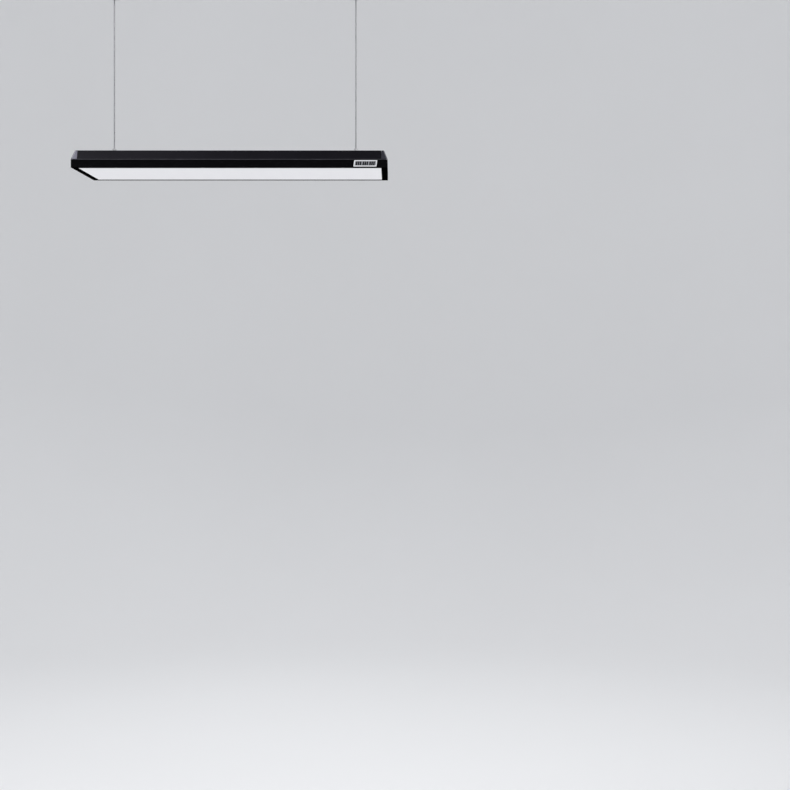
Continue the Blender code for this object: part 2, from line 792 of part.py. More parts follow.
def make_driver(lamp):
    half_x = DRIVER_LENGTH / 2
    half_y = DRIVER_WIDTH / 2
    board = part(blocks("driver_board", [
        ((DRIVER_X - half_x, -half_y, DRIVER_BASE), (DRIVER_X + half_x, half_y, DRIVER_TOP)),
    ]), "circuit", lamp)
    sunk = DRIVER_TOP - BOARD / 4
    ends = lead_ends()
    tall = driver_roof() - PLUG_DROP
    plug = 0.004
    join(board, blocks("driver_blocks", [
        ((DRIVER_X - 0.018, -0.008, sunk), (DRIVER_X - 0.002, 0.008, tall)),
        ((DRIVER_X + 0.010, -0.018, sunk), (DRIVER_X + 0.024, -0.008, DRIVER_TOP + 0.0012)),
        ((DRIVER_X - 0.044, 0.006, sunk), (DRIVER_X - 0.030, 0.018, DRIVER_TOP + 0.0016)),
        ((ends["supply"][0] - GAP - 0.008, ends["supply"][1] - plug, sunk),
         (ends["supply"][0] - GAP, ends["supply"][1] + plug, tall)),
        ((ends["left"][0] + GAP, ends["left"][1] - plug, sunk),
         (ends["left"][0] + GAP + 0.008, ends["left"][1] + plug, tall)),
        ((ends["right"][0] - plug, ends["right"][1] + GAP, sunk),
         (ends["right"][0] + plug, ends["right"][1] + GAP + 0.006, tall)),
    ]))
    join(board, rods("driver_capacitors", [
        ((DRIVER_X + x, y, sunk), (DRIVER_X + x, y, driver_roof()))
        for x, y in ((0.034, -0.012), (0.034, 0.002), (0.020, 0.010))
    ], 0.004, 12))
    cut(board, rods("driver_holes", [
        ((u, v, 0), (u, v, HEIGHT)) for u, v in driver_screw_places()
    ], DRIVER_SCREW["shank"] + SCREW_GAP, 12))
    for i, (u, v) in enumerate(driver_screw_places()):
        screw(
            f"driver_screw_{i + 1}", DRIVER_SCREW, "zinc", lamp, (u, v, DRIVER_TOP + GAP),
        )


def make_inlet(lamp, housing):
    """A round socket with a flange outside, a nut inside and a seal between."""
    place = (INLET_X, INLET_BACK, HEIGHT)
    seal = 0.001
    flange_base = seal + 2 * GAP
    flange_top = flange_base + 0.002
    floor = flange_base
    socket = part(turned("inlet_socket", [
        (INLET_BORE, INLET_RISE),
        (INLET_RADIUS - 0.0004, INLET_RISE),
        (INLET_RADIUS, INLET_RISE - 0.0004),
        (INLET_RADIUS, flange_top),
        (INLET_FLANGE, flange_top),
        (INLET_FLANGE, flange_base),
        (INLET_RADIUS, flange_base),
        (INLET_RADIUS, -INLET_DROP),
        (0, -INLET_DROP),
        (0, floor),
        (INLET_BORE, floor),
    ], 20), "black_plastic", lamp, place)
    pin_top = (floor + INLET_RISE) / 2 - 0.001
    pins = [math.radians(a) for a in (90, 210, 330)]
    join(socket, rods("inlet_pins", [
        ((0.0024 * math.cos(a), 0.0024 * math.sin(a), floor - 0.001),
         (0.0024 * math.cos(a), 0.0024 * math.sin(a), pin_top)) for a in pins
    ], INLET_PIN, 8))
    part(turned("inlet_seal", [
        (INLET_FLANGE - GAP, GAP + seal),
        (INLET_FLANGE - GAP, GAP),
        (INLET_RADIUS + GAP, GAP),
        (INLET_RADIUS + GAP, GAP + seal),
    ], 20), "black_rubber", lamp, place)
    nut_top = -TOP_WALL - GAP
    nut = part(prism("inlet_nut", 6, INLET_NUT / math.cos(math.pi / 6), nut_top - 0.003, nut_top),
               "nickel", lamp, place)
    cut(nut, prism("inlet_nut_bore", 20, INLET_RADIUS + GAP, -0.02, 0.02))
    cut(housing, rods("inlet_hole", [
        ((INLET_X, INLET_BACK, CAVITY_TOP - TOP_WALL), (INLET_X, INLET_BACK, HEIGHT + TOP_WALL)),
    ], INLET_RADIUS + GAP, 20))


def make_leads(lamp):
    ends = lead_ends()
    inlet = (INLET_X, INLET_BACK, HEIGHT - INLET_DROP - GAP)
    lowest = SPREADER_TOP + LEAD_RADIUS + GAP
    drop = inlet[2] - LEAD_RADIUS - lowest
    rise = ends["supply"][2] - lowest
    supply = lead_route(inlet, (0, 0, -drop), ends["supply"], (0.030, 0.004, -rise))
    part(wire_object("supply_lead", supply, LEAD_RADIUS), "lead", lamp)
    for name, side in SIDES.items():
        way = (-0.022, 0, 0) if side < 0 else (0, -0.014, 0)
        knee = (side * LEAD_HOLE_X, -LEAD_HOLE_FRONT, SPREADER_TOP + LEAD_RADIUS)
        route = lead_route(ends[name], way, knee, (0, 0, 0.006))
        route.append((*knee[:2], BOARD_TOP + GAP))
        part(wire_object("led_lead_" + name, route, LEAD_RADIUS), "lead", lamp)


# Suspension

def gripper_levels():
    """Heights above the lamp's top of the steps inside a gripper."""
    floor = 0.0008
    shoulder_low = 0.0054
    shoulder_top = 0.0062
    lip = GRIPPER_TOP - 0.0018
    return floor, shoulder_low, shoulder_top, lip


def make_gripper(name, side, lamp):
    floor, shoulder_low, shoulder_top, lip = gripper_levels()
    place = (side * WIRE_X, 0, HEIGHT)
    bore = COLLAR_TUBE + SLIDE_GAP
    body = part(turned("gripper_body_" + name, [
        (GRIPPER_RADIUS - 0.0006, GRIPPER_TOP),
        (GRIPPER_RADIUS, GRIPPER_TOP - 0.0006),
        (GRIPPER_RADIUS, 0.0022),
        (GRIPPER_RADIUS + 0.001, 0.0018),
        (GRIPPER_RADIUS + 0.001, GAP),
        (STUD_RADIUS, GAP),
        (STUD_RADIUS, -STUD_LENGTH),
        (WIRE_BORE, -STUD_LENGTH),
        (WIRE_BORE, floor),
        (CHAMBER_BASE, floor),
        (CHAMBER_TOP, shoulder_low),
        (bore, shoulder_low),
        (bore, shoulder_top),
        (SPRING_ROOM, shoulder_top),
        (SPRING_ROOM, lip),
        (bore, lip),
        (bore, GRIPPER_TOP),
    ], 20), "nickel", lamp, place)
    cut(body, rods("side_port_" + name, [
        ((0, GRIPPER_RADIUS / 2, floor + WIRE_BORE + GAP),
         (0, 2 * GRIPPER_RADIUS, floor + WIRE_BORE + GAP)),
    ], WIRE_BORE, 12))
    make_collar(name, place, lamp, shoulder_low, lip)
    make_spring(name, place, lamp, shoulder_top, lip)
    top = -TOP_WALL - GAP
    part(turned("gripper_washer_" + name, [
        (WASHER_RADIUS, top),
        (WASHER_RADIUS, top - WASHER_HEIGHT),
        (STUD_RADIUS + GAP, top - WASHER_HEIGHT),
        (STUD_RADIUS + GAP, top),
    ], 20), "zinc", lamp, place)
    nut_top = top - WASHER_HEIGHT - GAP
    nut = part(prism("gripper_nut_" + name, 6, NUT_RADIUS, nut_top - NUT_HEIGHT, nut_top),
               "zinc", lamp, place)
    cut(nut, prism("gripper_nut_bore_" + name, 16, STUD_RADIUS + GAP, -0.03, 0.01))


def collar_flange(lip):
    return lip - GAP, lip - GAP - 0.0008


def make_collar(name, place, lamp, shoulder_low, lip):
    """The release collar: a head, a tube with a flange, and the three clutch balls."""
    flange_top, flange_base = collar_flange(lip)
    flange = SPRING_ROOM - SLIDE_GAP
    ball_height = shoulder_low - BALL_RADIUS - GAP
    head_base = COLLAR_TOP - COLLAR_HEAD
    pivot = empty("collar_axis_" + name, place, lamp)
    collar = part(turned("gripper_collar_" + name, [
        (WIRE_BORE + 0.0006, COLLAR_TOP),
        (COLLAR_RADIUS - 0.0004, COLLAR_TOP),
        (COLLAR_RADIUS, COLLAR_TOP - 0.0004),
        (COLLAR_RADIUS, head_base),
        (COLLAR_TUBE, head_base),
        (COLLAR_TUBE, flange_top),
        (flange, flange_top),
        (flange, flange_base),
        (COLLAR_TUBE, flange_base),
        (COLLAR_TUBE, ball_height),
        (WIRE_BORE, ball_height),
        (WIRE_BORE, COLLAR_TOP - 0.0006),
    ], 18), "satin_metal", pivot)
    bm = bmesh.new()
    for angle in (30, 150, 270):
        a = math.radians(angle)
        spot = Matrix.Translation((BALL_REACH * math.cos(a), BALL_REACH * math.sin(a), ball_height))
        bmesh.ops.create_uvsphere(bm, u_segments=8, v_segments=6, radius=BALL_RADIUS, matrix=spot)
    join(collar, mesh_object("clutch_balls_" + name, bm))


def make_spring(name, place, lamp, shoulder_top, lip):
    low = shoulder_top + SPRING_WIRE + GAP
    high = collar_flange(lip)[1] - SPRING_WIRE - GAP
    radius = COLLAR_TUBE + SLIDE_GAP + SPRING_WIRE + 0.00025
    points = []
    steps = 10 * SPRING_TURNS
    for i in range(steps + 1):
        a = 2 * math.pi * i / 10
        z = low + (high - low) * i / steps
        points.append((radius * math.cos(a), radius * math.sin(a), z))
    part(wire_object("gripper_spring_" + name, points, SPRING_WIRE), "satin_metal", lamp, place)


def make_wire(name, side, swing):
    """The wire and its ball stop, from the stop's bore down to the gripper's floor."""
    x = side * WIRE_X
    lamp_top = -DROP + PIVOT_DEPTH
    floor = gripper_levels()[0]
    bore_top = STOP_RADIUS - 0.0010
    wire_top = bore_top - GAP
    wire_end = lamp_top + floor + GAP
    part(wire_object("wire_" + name, [(0, 0, wire_top), (0, 0, wire_end)], WIRE_RADIUS),
         "wire", swing, (x, 0, 0))
    bore = WIRE_RADIUS + GAP
    tail = -math.sqrt(STOP_RADIUS**2 - bore**2)
    start = math.degrees(math.asin(tail / STOP_RADIUS))
    profile = arc((0, 0), STOP_RADIUS, 90, start, 8)
    profile += [(bore, bore_top), (0, bore_top)]
    profile[0] = (0, STOP_RADIUS)
    part(turned("wire_stop_" + name, profile, 16, closed=False), "nickel", swing, (x, 0, 0))


# Ceiling fittings

def make_ceiling_fitting(name, side):
    place = (side * WIRE_X, 0, 0)
    screw_hole = CEILING_SCREW["shank"] + SCREW_GAP
    recess = CEILING_SCREW["head"] + SCREW_GAP
    recess_floor = -HUB_DEPTH + CEILING_SCREW["height"] + 0.0012
    part(turned("ceiling_base_" + name, [
        (BASE_RADIUS, 0),
        (BASE_RADIUS, -BASE_HEIGHT),
        (HUB_RADIUS, -BASE_HEIGHT),
        (HUB_RADIUS, -HUB_DEPTH),
        (recess, -HUB_DEPTH),
        (recess, recess_floor),
        (screw_hole, recess_floor),
        (screw_hole, 0),
    ], 24), "satin_metal", None, place)
    seat = -PIVOT_DEPTH - math.sqrt(STOP_RADIUS**2 - CUP_SEAT**2) - GAP
    inner = HUB_RADIUS + GAP
    part(turned("ceiling_cup_" + name, [
        (BASE_RADIUS, -BASE_HEIGHT - GAP),
        (BASE_RADIUS, -CUP_DEPTH + 0.005),
        (BASE_RADIUS - 0.0015, -CUP_DEPTH + 0.0015),
        (BASE_RADIUS - 0.005, -CUP_DEPTH),
        (CUP_MOUTH, -CUP_DEPTH),
        (CUP_SEAT, seat),
        (CUP_SEAT + STOP_RADIUS, -PIVOT_DEPTH + 0.001),
        (inner, -HUB_DEPTH - 0.003),
        (inner, -BASE_HEIGHT - GAP),
    ], 24), "satin_metal", None, place)
    screw(
        "ceiling_screw_" + name, CEILING_SCREW, "zinc", None,
        (place[0], 0, recess_floor - GAP), (math.pi, 0, 0),
    )


def build():
    swing = empty("swing_axis", (0, 0, -PIVOT_DEPTH))
    lamp = empty("lamp_frame", (0, 0, LAMP_Z + PIVOT_DEPTH), swing)
    housing = make_top_housing(lamp)
    make_lower_frame(lamp)
    make_badge(lamp)
    make_diffuser(lamp)
    make_seal(lamp)
    make_reflector(lamp)
    make_spreader(lamp)
    make_driver(lamp)
    make_inlet(lamp, housing)
    make_leads(lamp)
    for name, side in SIDES.items():
        make_end_cap("end_cap_" + name, side, lamp)
        make_led_board(name, side, lamp)
        make_gripper(name, side, lamp)
        make_wire(name, side, swing)
        make_ceiling_fitting(name, side)


build()
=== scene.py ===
import json
import math

import bmesh
import bpy
from mathutils import Matrix, Vector

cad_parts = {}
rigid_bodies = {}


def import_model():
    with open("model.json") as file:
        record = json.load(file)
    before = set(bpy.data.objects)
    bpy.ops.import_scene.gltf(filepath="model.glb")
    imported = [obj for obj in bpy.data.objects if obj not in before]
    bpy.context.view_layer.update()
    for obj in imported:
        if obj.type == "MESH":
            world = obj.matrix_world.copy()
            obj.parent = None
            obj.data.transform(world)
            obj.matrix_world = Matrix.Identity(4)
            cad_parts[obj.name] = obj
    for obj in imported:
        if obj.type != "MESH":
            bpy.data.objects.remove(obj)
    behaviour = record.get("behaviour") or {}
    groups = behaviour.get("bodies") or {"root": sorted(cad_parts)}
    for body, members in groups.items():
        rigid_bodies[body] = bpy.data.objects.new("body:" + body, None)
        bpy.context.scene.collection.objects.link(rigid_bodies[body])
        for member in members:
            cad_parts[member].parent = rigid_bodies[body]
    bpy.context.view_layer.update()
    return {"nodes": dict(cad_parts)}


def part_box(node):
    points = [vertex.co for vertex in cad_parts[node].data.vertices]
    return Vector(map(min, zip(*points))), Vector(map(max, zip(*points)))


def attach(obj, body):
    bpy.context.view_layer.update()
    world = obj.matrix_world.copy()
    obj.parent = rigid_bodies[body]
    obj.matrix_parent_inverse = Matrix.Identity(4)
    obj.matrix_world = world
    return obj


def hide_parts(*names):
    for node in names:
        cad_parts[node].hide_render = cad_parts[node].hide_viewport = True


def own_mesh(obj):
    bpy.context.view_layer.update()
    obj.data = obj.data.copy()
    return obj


for obj in list(bpy.data.objects):
    bpy.data.objects.remove(obj)

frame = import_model()
nodes = frame["nodes"]
sides = {"left": -1, "right": 1}
print("frame loaded with", len(nodes), "CAD parts")


# small tools used by every piece

# lengths in metres, angles in degrees
shaping = {
    "sharpAngle": 35,
    "soft": 0.0002,
    "sideShare": 0.4,  # a round takes at most this share of the shorter side
    "straightWithin": 12,
    "edgeSegments": 3,
    "edgeAngle": 30,
    "weld": 0.000002,
    "flatWithin": 0.6,
    "evenWeight": 100,
    "nearlyUpright": 0.1,
}


def linkNew(name, data):
    obj = bpy.data.objects.new(name, data)
    bpy.context.scene.collection.objects.link(obj)
    return obj


def meshFrom(name, bm, sharpAngle=shaping["sharpAngle"]):
    mesh = bpy.data.meshes.new(name)
    bmesh.ops.recalc_face_normals(bm, faces=bm.faces)
    bm.to_mesh(mesh)
    bm.free()
    mesh.shade_smooth()
    mesh.set_sharp_from_angle(angle=math.radians(sharpAngle))
    return linkNew(name, mesh)


def softened(profile, radius, closed):
    # each corner of the profile becomes a small three-point round
    out = []
    count = len(profile)
    for i, here in enumerate(profile):
        if not closed and i in (0, count - 1):
            out.append(here)
            continue
        before = Vector(profile[i - 1][:2])
        after = Vector(profile[(i + 1) % count][:2])
        spot = Vector(here[:2])
        back, ahead = before - spot, after - spot
        size = min(radius, min(back.length, ahead.length) * shaping["sideShare"])
        bend = math.pi - back.angle(ahead, 0)
        if bend < math.radians(shaping["straightWithin"]) or here[0] == 0 or size <= 0:
            out.append(here)
            continue
        a = spot + back.normalized() * size
        b = spot + ahead.normalized() * size
        middle = (a + b) / 4 + spot / 2
        extra = tuple(here[2:])
        out += [(*a, *extra), (*middle, *extra), (*b, *extra)]
    return out


def turnedRings(profile, steps, shape):
    # one ring of points per profile point; shape bends the radius with the angle
    rings = []
    for radius, height, *mark in profile:
        kind = mark[0] if mark else None
        ring = []
        for i in range(steps):
            angle = 2 * math.pi * i / steps
            r = shape(kind, radius, angle, height) if shape and kind else radius
            ring.append(Vector((r * math.cos(angle), r * math.sin(angle), height)))
        rings.append(ring)
    return rings


def turnedPiece(name, profile, place, steps, closed=True, soft=shaping["soft"], shape=None,
                turn=None, sharpAngle=shaping["sharpAngle"]):
    # a profile of radius and height, turned about its own upright axis
    bm = bmesh.new()
    line = softened(profile, soft, closed)
    rings = []
    for ring, item in zip(turnedRings(line, steps, shape), line):
        if item[0] <= 0:
            rings.append([bm.verts.new(ring[0])])
        else:
            rings.append([bm.verts.new(p) for p in ring])
    pairs = list(zip(rings, rings[1:]))
    if closed:
        pairs.append((rings[-1], rings[0]))
    for a, b in pairs:
        for i in range(steps):
            j = (i + 1) % steps
            if len(a) == 1 and len(b) == 1:
                continue
            if len(a) == 1:
                bm.faces.new((a[0], b[j], b[i]))
            elif len(b) == 1:
                bm.faces.new((a[i], a[j], b[0]))
            else:
                bm.faces.new((a[i], a[j], b[j], b[i]))
    move = Matrix.Translation(Vector(place))
    if turn:
        move = move @ turn.to_4x4()
    bmesh.ops.transform(bm, matrix=move, verts=bm.verts)
    return meshFrom(name, bm, sharpAngle)


def fineCopy(name, node, width, edgeSlot=-1, slotFor=None):
    # the CAD part's shape again, with its sharp edges broken by a small round
    bm = bmesh.new()
    bm.from_mesh(nodes[node].data)
    bmesh.ops.remove_doubles(bm, verts=bm.verts, dist=shaping["weld"])
    bmesh.ops.dissolve_limit(bm, angle_limit=math.radians(shaping["flatWithin"]),
                             verts=bm.verts, edges=bm.edges)
    bm.normal_update()
    for face in bm.faces:
        face.material_index = slotFor(face) if slotFor else 0
    obj = meshFrom(name, bm, shaping["edgeAngle"])
    bevel = obj.modifiers.new("broken edges", "BEVEL")
    bevel.width = width
    bevel.segments = shaping["edgeSegments"]
    bevel.limit_method = "ANGLE"
    bevel.angle_limit = math.radians(shaping["edgeAngle"])
    bevel.harden_normals = True
    bevel.material = edgeSlot
    even = obj.modifiers.new("flat faces stay flat", "WEIGHTED_NORMAL")
    even.keep_sharp = True
    even.weight = shaping["evenWeight"]
    return obj


def applyModifiers(obj):
    bpy.context.view_layer.update()
    seen = obj.evaluated_get(bpy.context.evaluated_depsgraph_get())
    mesh = bpy.data.meshes.new_from_object(seen)
    obj.modifiers.clear()
    old = obj.data
    obj.data = mesh
    bpy.data.meshes.remove(old)


def carve(obj, cutter):
    cut = obj.modifiers.new("cut", "BOOLEAN")
    cut.operation = "DIFFERENCE"
    cut.solver = "EXACT"
    cut.object = cutter
    applyModifiers(obj)
    bpy.data.objects.remove(cutter)


def wear(obj, *materials):
    # the faces keep which of the materials they wear
    kept = [face.material_index for face in obj.data.polygons]
    obj.data.materials.clear()
    for material in materials:
        obj.data.materials.append(material)
    for face, index in zip(obj.data.polygons, kept):
        face.material_index = min(index, len(materials) - 1)


def standsFor(obj, node, body, *materials):
    wear(obj, *materials)
    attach(obj, body)
    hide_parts(node)


def goesOn(obj, slot, body, *materials):
    # an extra detail that no CAD part stands for
    wear(obj, *materials)
    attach(obj, body)


mixSockets = {"factor": 0, "low": 6, "high": 7, "result": 2}  # of a mix node set to colour


class Finish:
    # a material with its shader at hand and short ways to add nodes
    def __init__(self, name, colour, roughness, metallic=0.0, specular=0.5):
        self.material = bpy.data.materials.new(name)
        self.material.use_nodes = True
        self.tree = self.material.node_tree
        self.shader = self.tree.nodes["Principled BSDF"]
        self.colour = colour
        self.shader.inputs["Base Color"].default_value = (*colour, 1)
        self.shader.inputs["Roughness"].default_value = roughness
        self.shader.inputs["Metallic"].default_value = metallic
        self.shader.inputs["Specular IOR Level"].default_value = specular
        self.heights = []

    def add(self, kind, **values):
        node = self.tree.nodes.new(kind)
        for key, value in values.items():
            setattr(node, key, value)
        return node

    def join(self, a, b):
        self.tree.links.new(a, b)

    def place(self, scale=(1, 1, 1), turn=(0, 0, 0)):
        source = self.add("ShaderNodeTexCoord")
        mapping = self.add("ShaderNodeMapping")
        mapping.inputs["Scale"].default_value = scale
        mapping.inputs["Rotation"].default_value = turn
        self.join(source.outputs["Object"], mapping.inputs["Vector"])
        return mapping.outputs["Vector"]

    def noise(self, scale, detail=3.0, stretch=(1, 1, 1), rough=0.5):
        node = self.add("ShaderNodeTexNoise")
        node.inputs["Scale"].default_value = scale
        node.inputs["Detail"].default_value = detail
        node.inputs["Roughness"].default_value = rough
        self.join(self.place(stretch), node.inputs["Vector"])
        return node.outputs["Fac"]

    def spread(self, value, low, high, fromLow=0.3, fromHigh=0.7):
        node = self.add("ShaderNodeMapRange")
        node.inputs["From Min"].default_value = fromLow
        node.inputs["From Max"].default_value = fromHigh
        node.inputs["To Min"].default_value = low
        node.inputs["To Max"].default_value = high
        self.join(value, node.inputs["Value"])
        return node.outputs["Result"]

    def blendColours(self, value, low, high):
        node = self.add("ShaderNodeMix", data_type="RGBA")
        node.inputs[mixSockets["low"]].default_value = (*low, 1)
        node.inputs[mixSockets["high"]].default_value = (*high, 1)
        self.join(value, node.inputs[mixSockets["factor"]])
        return node.outputs[mixSockets["result"]]

    def tint(self, value, low, high, fromLow=0.3, fromHigh=0.7):
        # base colour runs between two shares of its own value
        mix = self.spread(value, 0, 1, fromLow, fromHigh)
        a = [c * low for c in self.colour]
        b = [min(1.0, c * high) for c in self.colour]
        self.join(self.blendColours(mix, a, b), self.shader.inputs["Base Color"])

    def vary(self, value, low, high):
        # roughness runs between two values
        self.join(self.spread(value, low, high), self.shader.inputs["Roughness"])

    def raised(self, value, depth, strength):
        # each new relief lies over the ones before it
        bump = self.add("ShaderNodeBump")
        bump.inputs["Distance"].default_value = depth
        bump.inputs["Strength"].default_value = strength
        self.join(value, bump.inputs["Height"])
        if self.heights:
            self.join(self.heights[-1], bump.inputs["Normal"])
        self.heights.append(bump.outputs["Normal"])
        self.join(bump.outputs["Normal"], self.shader.inputs["Normal"])


def cadFinish(node, material):
    # a CAD part that is shown as it is, in a better finish
    obj = nodes[node]
    for slot in obj.material_slots:
        slot.material = material
    if not obj.material_slots:
        obj.data.materials.append(material)


camera = {
    "place": (0.310, -2.645, -0.7151),
    "lens": 61.3,
    "shift": (0.0027, -0.0595),
    "sensor": 36,
    "tilt": 90,  # level, looking along Y
    "near": 0.05,
    "far": 60,
}


def makeCamera():
    data = bpy.data.cameras.new("camera")
    data.lens = camera["lens"]
    data.sensor_width = camera["sensor"]
    data.shift_x, data.shift_y = camera["shift"]
    data.clip_start = camera["near"]
    data.clip_end = camera["far"]
    obj = linkNew("camera", data)
    obj.location = camera["place"]
    obj.rotation_euler = (math.radians(camera["tilt"]), 0, 0)
    bpy.context.scene.camera = obj


makeCamera()
print("camera placed")


wire = {
    "diameter": 0.0025,
    "strands": 6,
    "grooveDepth": 0.15,
    "grooveShape": 2.2,
    "turnLength": 0.0105,
    "sides": 36,
    "sharpAngle": 70,
    "ringStep": 0.00062,
    "travel": 0.20,
    "exitHeight": -0.028,
    "pathSteps": 24,
    "layScale": 520,
    "layDistortion": 1.5,
    "layLean": (0.5, 0.35, 0),
}


def steelRope():
    finish = Finish("steelRope", (0.38, 0.38, 0.395), roughness=0.34, metallic=1.0)
    fine = finish.noise(scale=900, detail=4, stretch=(1, 1, 0.12), rough=0.6)
    finish.tint(fine, low=0.72, high=1.08)
    finish.vary(finish.noise(scale=300, detail=3), low=0.26, high=0.42)
    lay = finish.add("ShaderNodeTexWave", wave_type="BANDS", bands_direction="Z")
    lay.inputs["Scale"].default_value = wire["layScale"]
    lay.inputs["Distortion"].default_value = wire["layDistortion"]
    finish.join(finish.place(turn=wire["layLean"]), lay.inputs["Vector"])
    finish.raised(lay.outputs["Fac"], depth=0.00006, strength=0.6)
    return finish.material


def makeWire(side, material):
    low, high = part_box("wire_" + side)
    centre = (low + high) / 2
    radius = wire["diameter"] / 2
    count = int((high.z - low.z) / wire["ringStep"])
    bm = bmesh.new()
    rings = []
    for k in range(count + 1):
        z = low.z + (high.z - low.z) * k / count
        twist = 2 * math.pi * z / wire["turnLength"]
        ring = []
        for i in range(wire["sides"]):
            angle = 2 * math.pi * i / wire["sides"] + twist
            lobe = abs(math.sin(wire["strands"] * (angle - twist) / 2))
            r = radius * (1 - wire["grooveDepth"] * (1 - lobe) ** wire["grooveShape"])
            x, y = centre.x + r * math.cos(angle), centre.y + r * math.sin(angle)
            ring.append(bm.verts.new((x, y, z)))
        rings.append(ring)
    for a, b in zip(rings, rings[1:]):
        for i in range(wire["sides"]):
            j = (i + 1) % wire["sides"]
            bm.faces.new((a[i], a[j], b[j], b[i]))
    bm.faces.new(rings[0])
    bm.faces.new(rings[-1])
    obj = meshFrom("wireRope_" + side, bm, wire["sharpAngle"])
    standsFor(obj, "wire_" + side, "wires", material)
    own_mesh(obj)


ropeFinish = steelRope()
for side in sides:
    makeWire(side, ropeFinish)
print("wires made")


# what the whole fitting is measured from: the lamp's top face and the two wires
topOverPanel = 0.0330
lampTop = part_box("diffuser_panel")[0].z + topOverPanel
wireX = {}
for side in sides:
    low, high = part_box("wire_" + side)
    wireX[side] = (low.x + high.x) / 2


def nickelPlate():
    finish = Finish("nickelPlate", (0.60, 0.585, 0.56), roughness=0.22, metallic=1.0)
    turnedLines = finish.noise(scale=1400, detail=2, stretch=(0.02, 0.02, 1))
    finish.tint(finish.noise(scale=120, detail=3), low=0.90, high=1.05)
    finish.vary(turnedLines, low=0.14, high=0.28)
    finish.raised(turnedLines, depth=0.00002, strength=0.4)
    return finish.material


def satinSteel():
    finish = Finish("satinSteel", (0.60, 0.60, 0.61), roughness=0.34, metallic=1.0)
    lines = finish.noise(scale=1800, detail=3, stretch=(0.015, 0.015, 1))
    finish.tint(finish.noise(scale=60, detail=4), low=0.88, high=1.06)
    finish.vary(lines, low=0.26, high=0.42)
    finish.raised(lines, depth=0.00002, strength=0.5)
    return finish.material


def zincPlate():
    finish = Finish("zincPlate", (0.58, 0.58, 0.56), roughness=0.34, metallic=1.0)
    finish.tint(finish.noise(scale=700, detail=5, rough=0.7), low=0.75, high=1.1)
    finish.vary(finish.noise(scale=300, detail=3), low=0.26, high=0.46)
    finish.raised(finish.noise(scale=2600, detail=2), depth=0.00002, strength=0.4)
    return finish.material


nickelFinish = nickelPlate()
satinFinish = satinSteel()
zincFinish = zincPlate()

gripper = {
    "steps": 108,
    "flutes": 36,
    "fluteDepth": 0.00013,
    "portRadius": 0.0016,
    "portHeight": 0.0027,
    "portReach": 0.006,
    "portLength": 0.007,
    "portSides": 32,
    "balls": 3,
    "firstBall": 30,
    "ballReach": 0.00235,
    "ballRadius": 0.0009,
    "ballHeight": 0.0042,
    "ballSegments": 20,
    "ballRings": 12,
    "bodySoft": 0.00012,
    "collarSoft": 0.0001,
    # radius and height over the lamp's top, in millimetres
    "body": [
        (4.4, 12.6), (5.0, 12.0), (5.0, 11.2), (4.8, 11.05), (4.8, 10.85), (5.0, 10.7),
        (5.0, 9.9), (5.0, 9.8, "flute"), (5.0, 5.9, "flute"), (5.0, 5.8),
        (5.0, 4.9), (4.8, 4.75), (4.8, 4.55), (5.0, 4.4), (5.0, 2.2), (6.0, 1.8),
        (6.0, 0.3), (4.0, 0.3), (4.0, -10), (1.6, -10), (1.6, 0.8), (3.9, 0.8), (3.2, 5.4),
        (2.55, 5.4), (2.55, 6.2), (3.6, 6.2), (3.6, 10.8), (2.55, 10.8), (2.55, 12.6),
    ],
    "collar": [
        (2.2, 16.4), (3.7, 16.4), (4.0, 16.15), (4.0, 16.0, "flute"), (4.0, 14.8, "flute"),
        (4.0, 14.6), (3.85, 14.4), (2.4, 14.4), (2.4, 10.5), (3.45, 10.5), (3.45, 9.7),
        (2.4, 9.7), (2.4, 4.2), (1.6, 4.2), (1.6, 15.8),
    ],
}


def fluted(kind, radius, angle, height):
    wave = 0.5 + 0.5 * math.cos(gripper["flutes"] * angle)
    return radius - gripper["fluteDepth"] * wave


def inMetres(profile):
    # a profile written in millimetres
    return [(radius / 1000, height / 1000, *mark) for radius, height, *mark in profile]


def makeGripperBody(side):
    body = turnedPiece("gripperBody_" + side, inMetres(gripper["body"]), (wireX[side], 0, lampTop),
                       gripper["steps"], soft=gripper["bodySoft"], shape=fluted)
    # the port that the wire's spare end is led out by
    bm = bmesh.new()
    turn = Matrix.Rotation(math.radians(90), 4, "X")
    spot = Matrix.Translation((wireX[side], gripper["portReach"], lampTop + gripper["portHeight"]))
    bmesh.ops.create_cone(bm, cap_ends=True, segments=gripper["portSides"],
                          radius1=gripper["portRadius"], radius2=gripper["portRadius"],
                          depth=gripper["portLength"], matrix=spot @ turn)
    carve(body, meshFrom("portCutter", bm))
    body.data.set_sharp_from_angle(angle=math.radians(shaping["sharpAngle"]))
    standsFor(body, "gripper_body_" + side, "lamp", nickelFinish)


def makeCollar(side):
    collar = turnedPiece("gripperCollar_" + side, inMetres(gripper["collar"]),
                         (wireX[side], 0, lampTop), gripper["steps"], soft=gripper["collarSoft"],
                         shape=fluted)
    # the clutch balls ride in the collar's foot
    bm = bmesh.new()
    bm.from_mesh(collar.data)
    for k in range(gripper["balls"]):
        angle = math.radians(gripper["firstBall"] + 360 * k / gripper["balls"])
        reach = gripper["ballReach"]
        spot = Vector((wireX[side] + reach * math.cos(angle), reach * math.sin(angle),
                       lampTop + gripper["ballHeight"]))
        bmesh.ops.create_uvsphere(bm, u_segments=gripper["ballSegments"],
                                  v_segments=gripper["ballRings"], radius=gripper["ballRadius"],
                                  matrix=Matrix.Translation(spot))
    bm.to_mesh(collar.data)
    bm.free()
    collar.data.shade_smooth()
    collar.data.set_sharp_from_angle(angle=math.radians(shaping["sharpAngle"]))
    standsFor(collar, "gripper_collar_" + side, "collar_" + side, satinFinish)


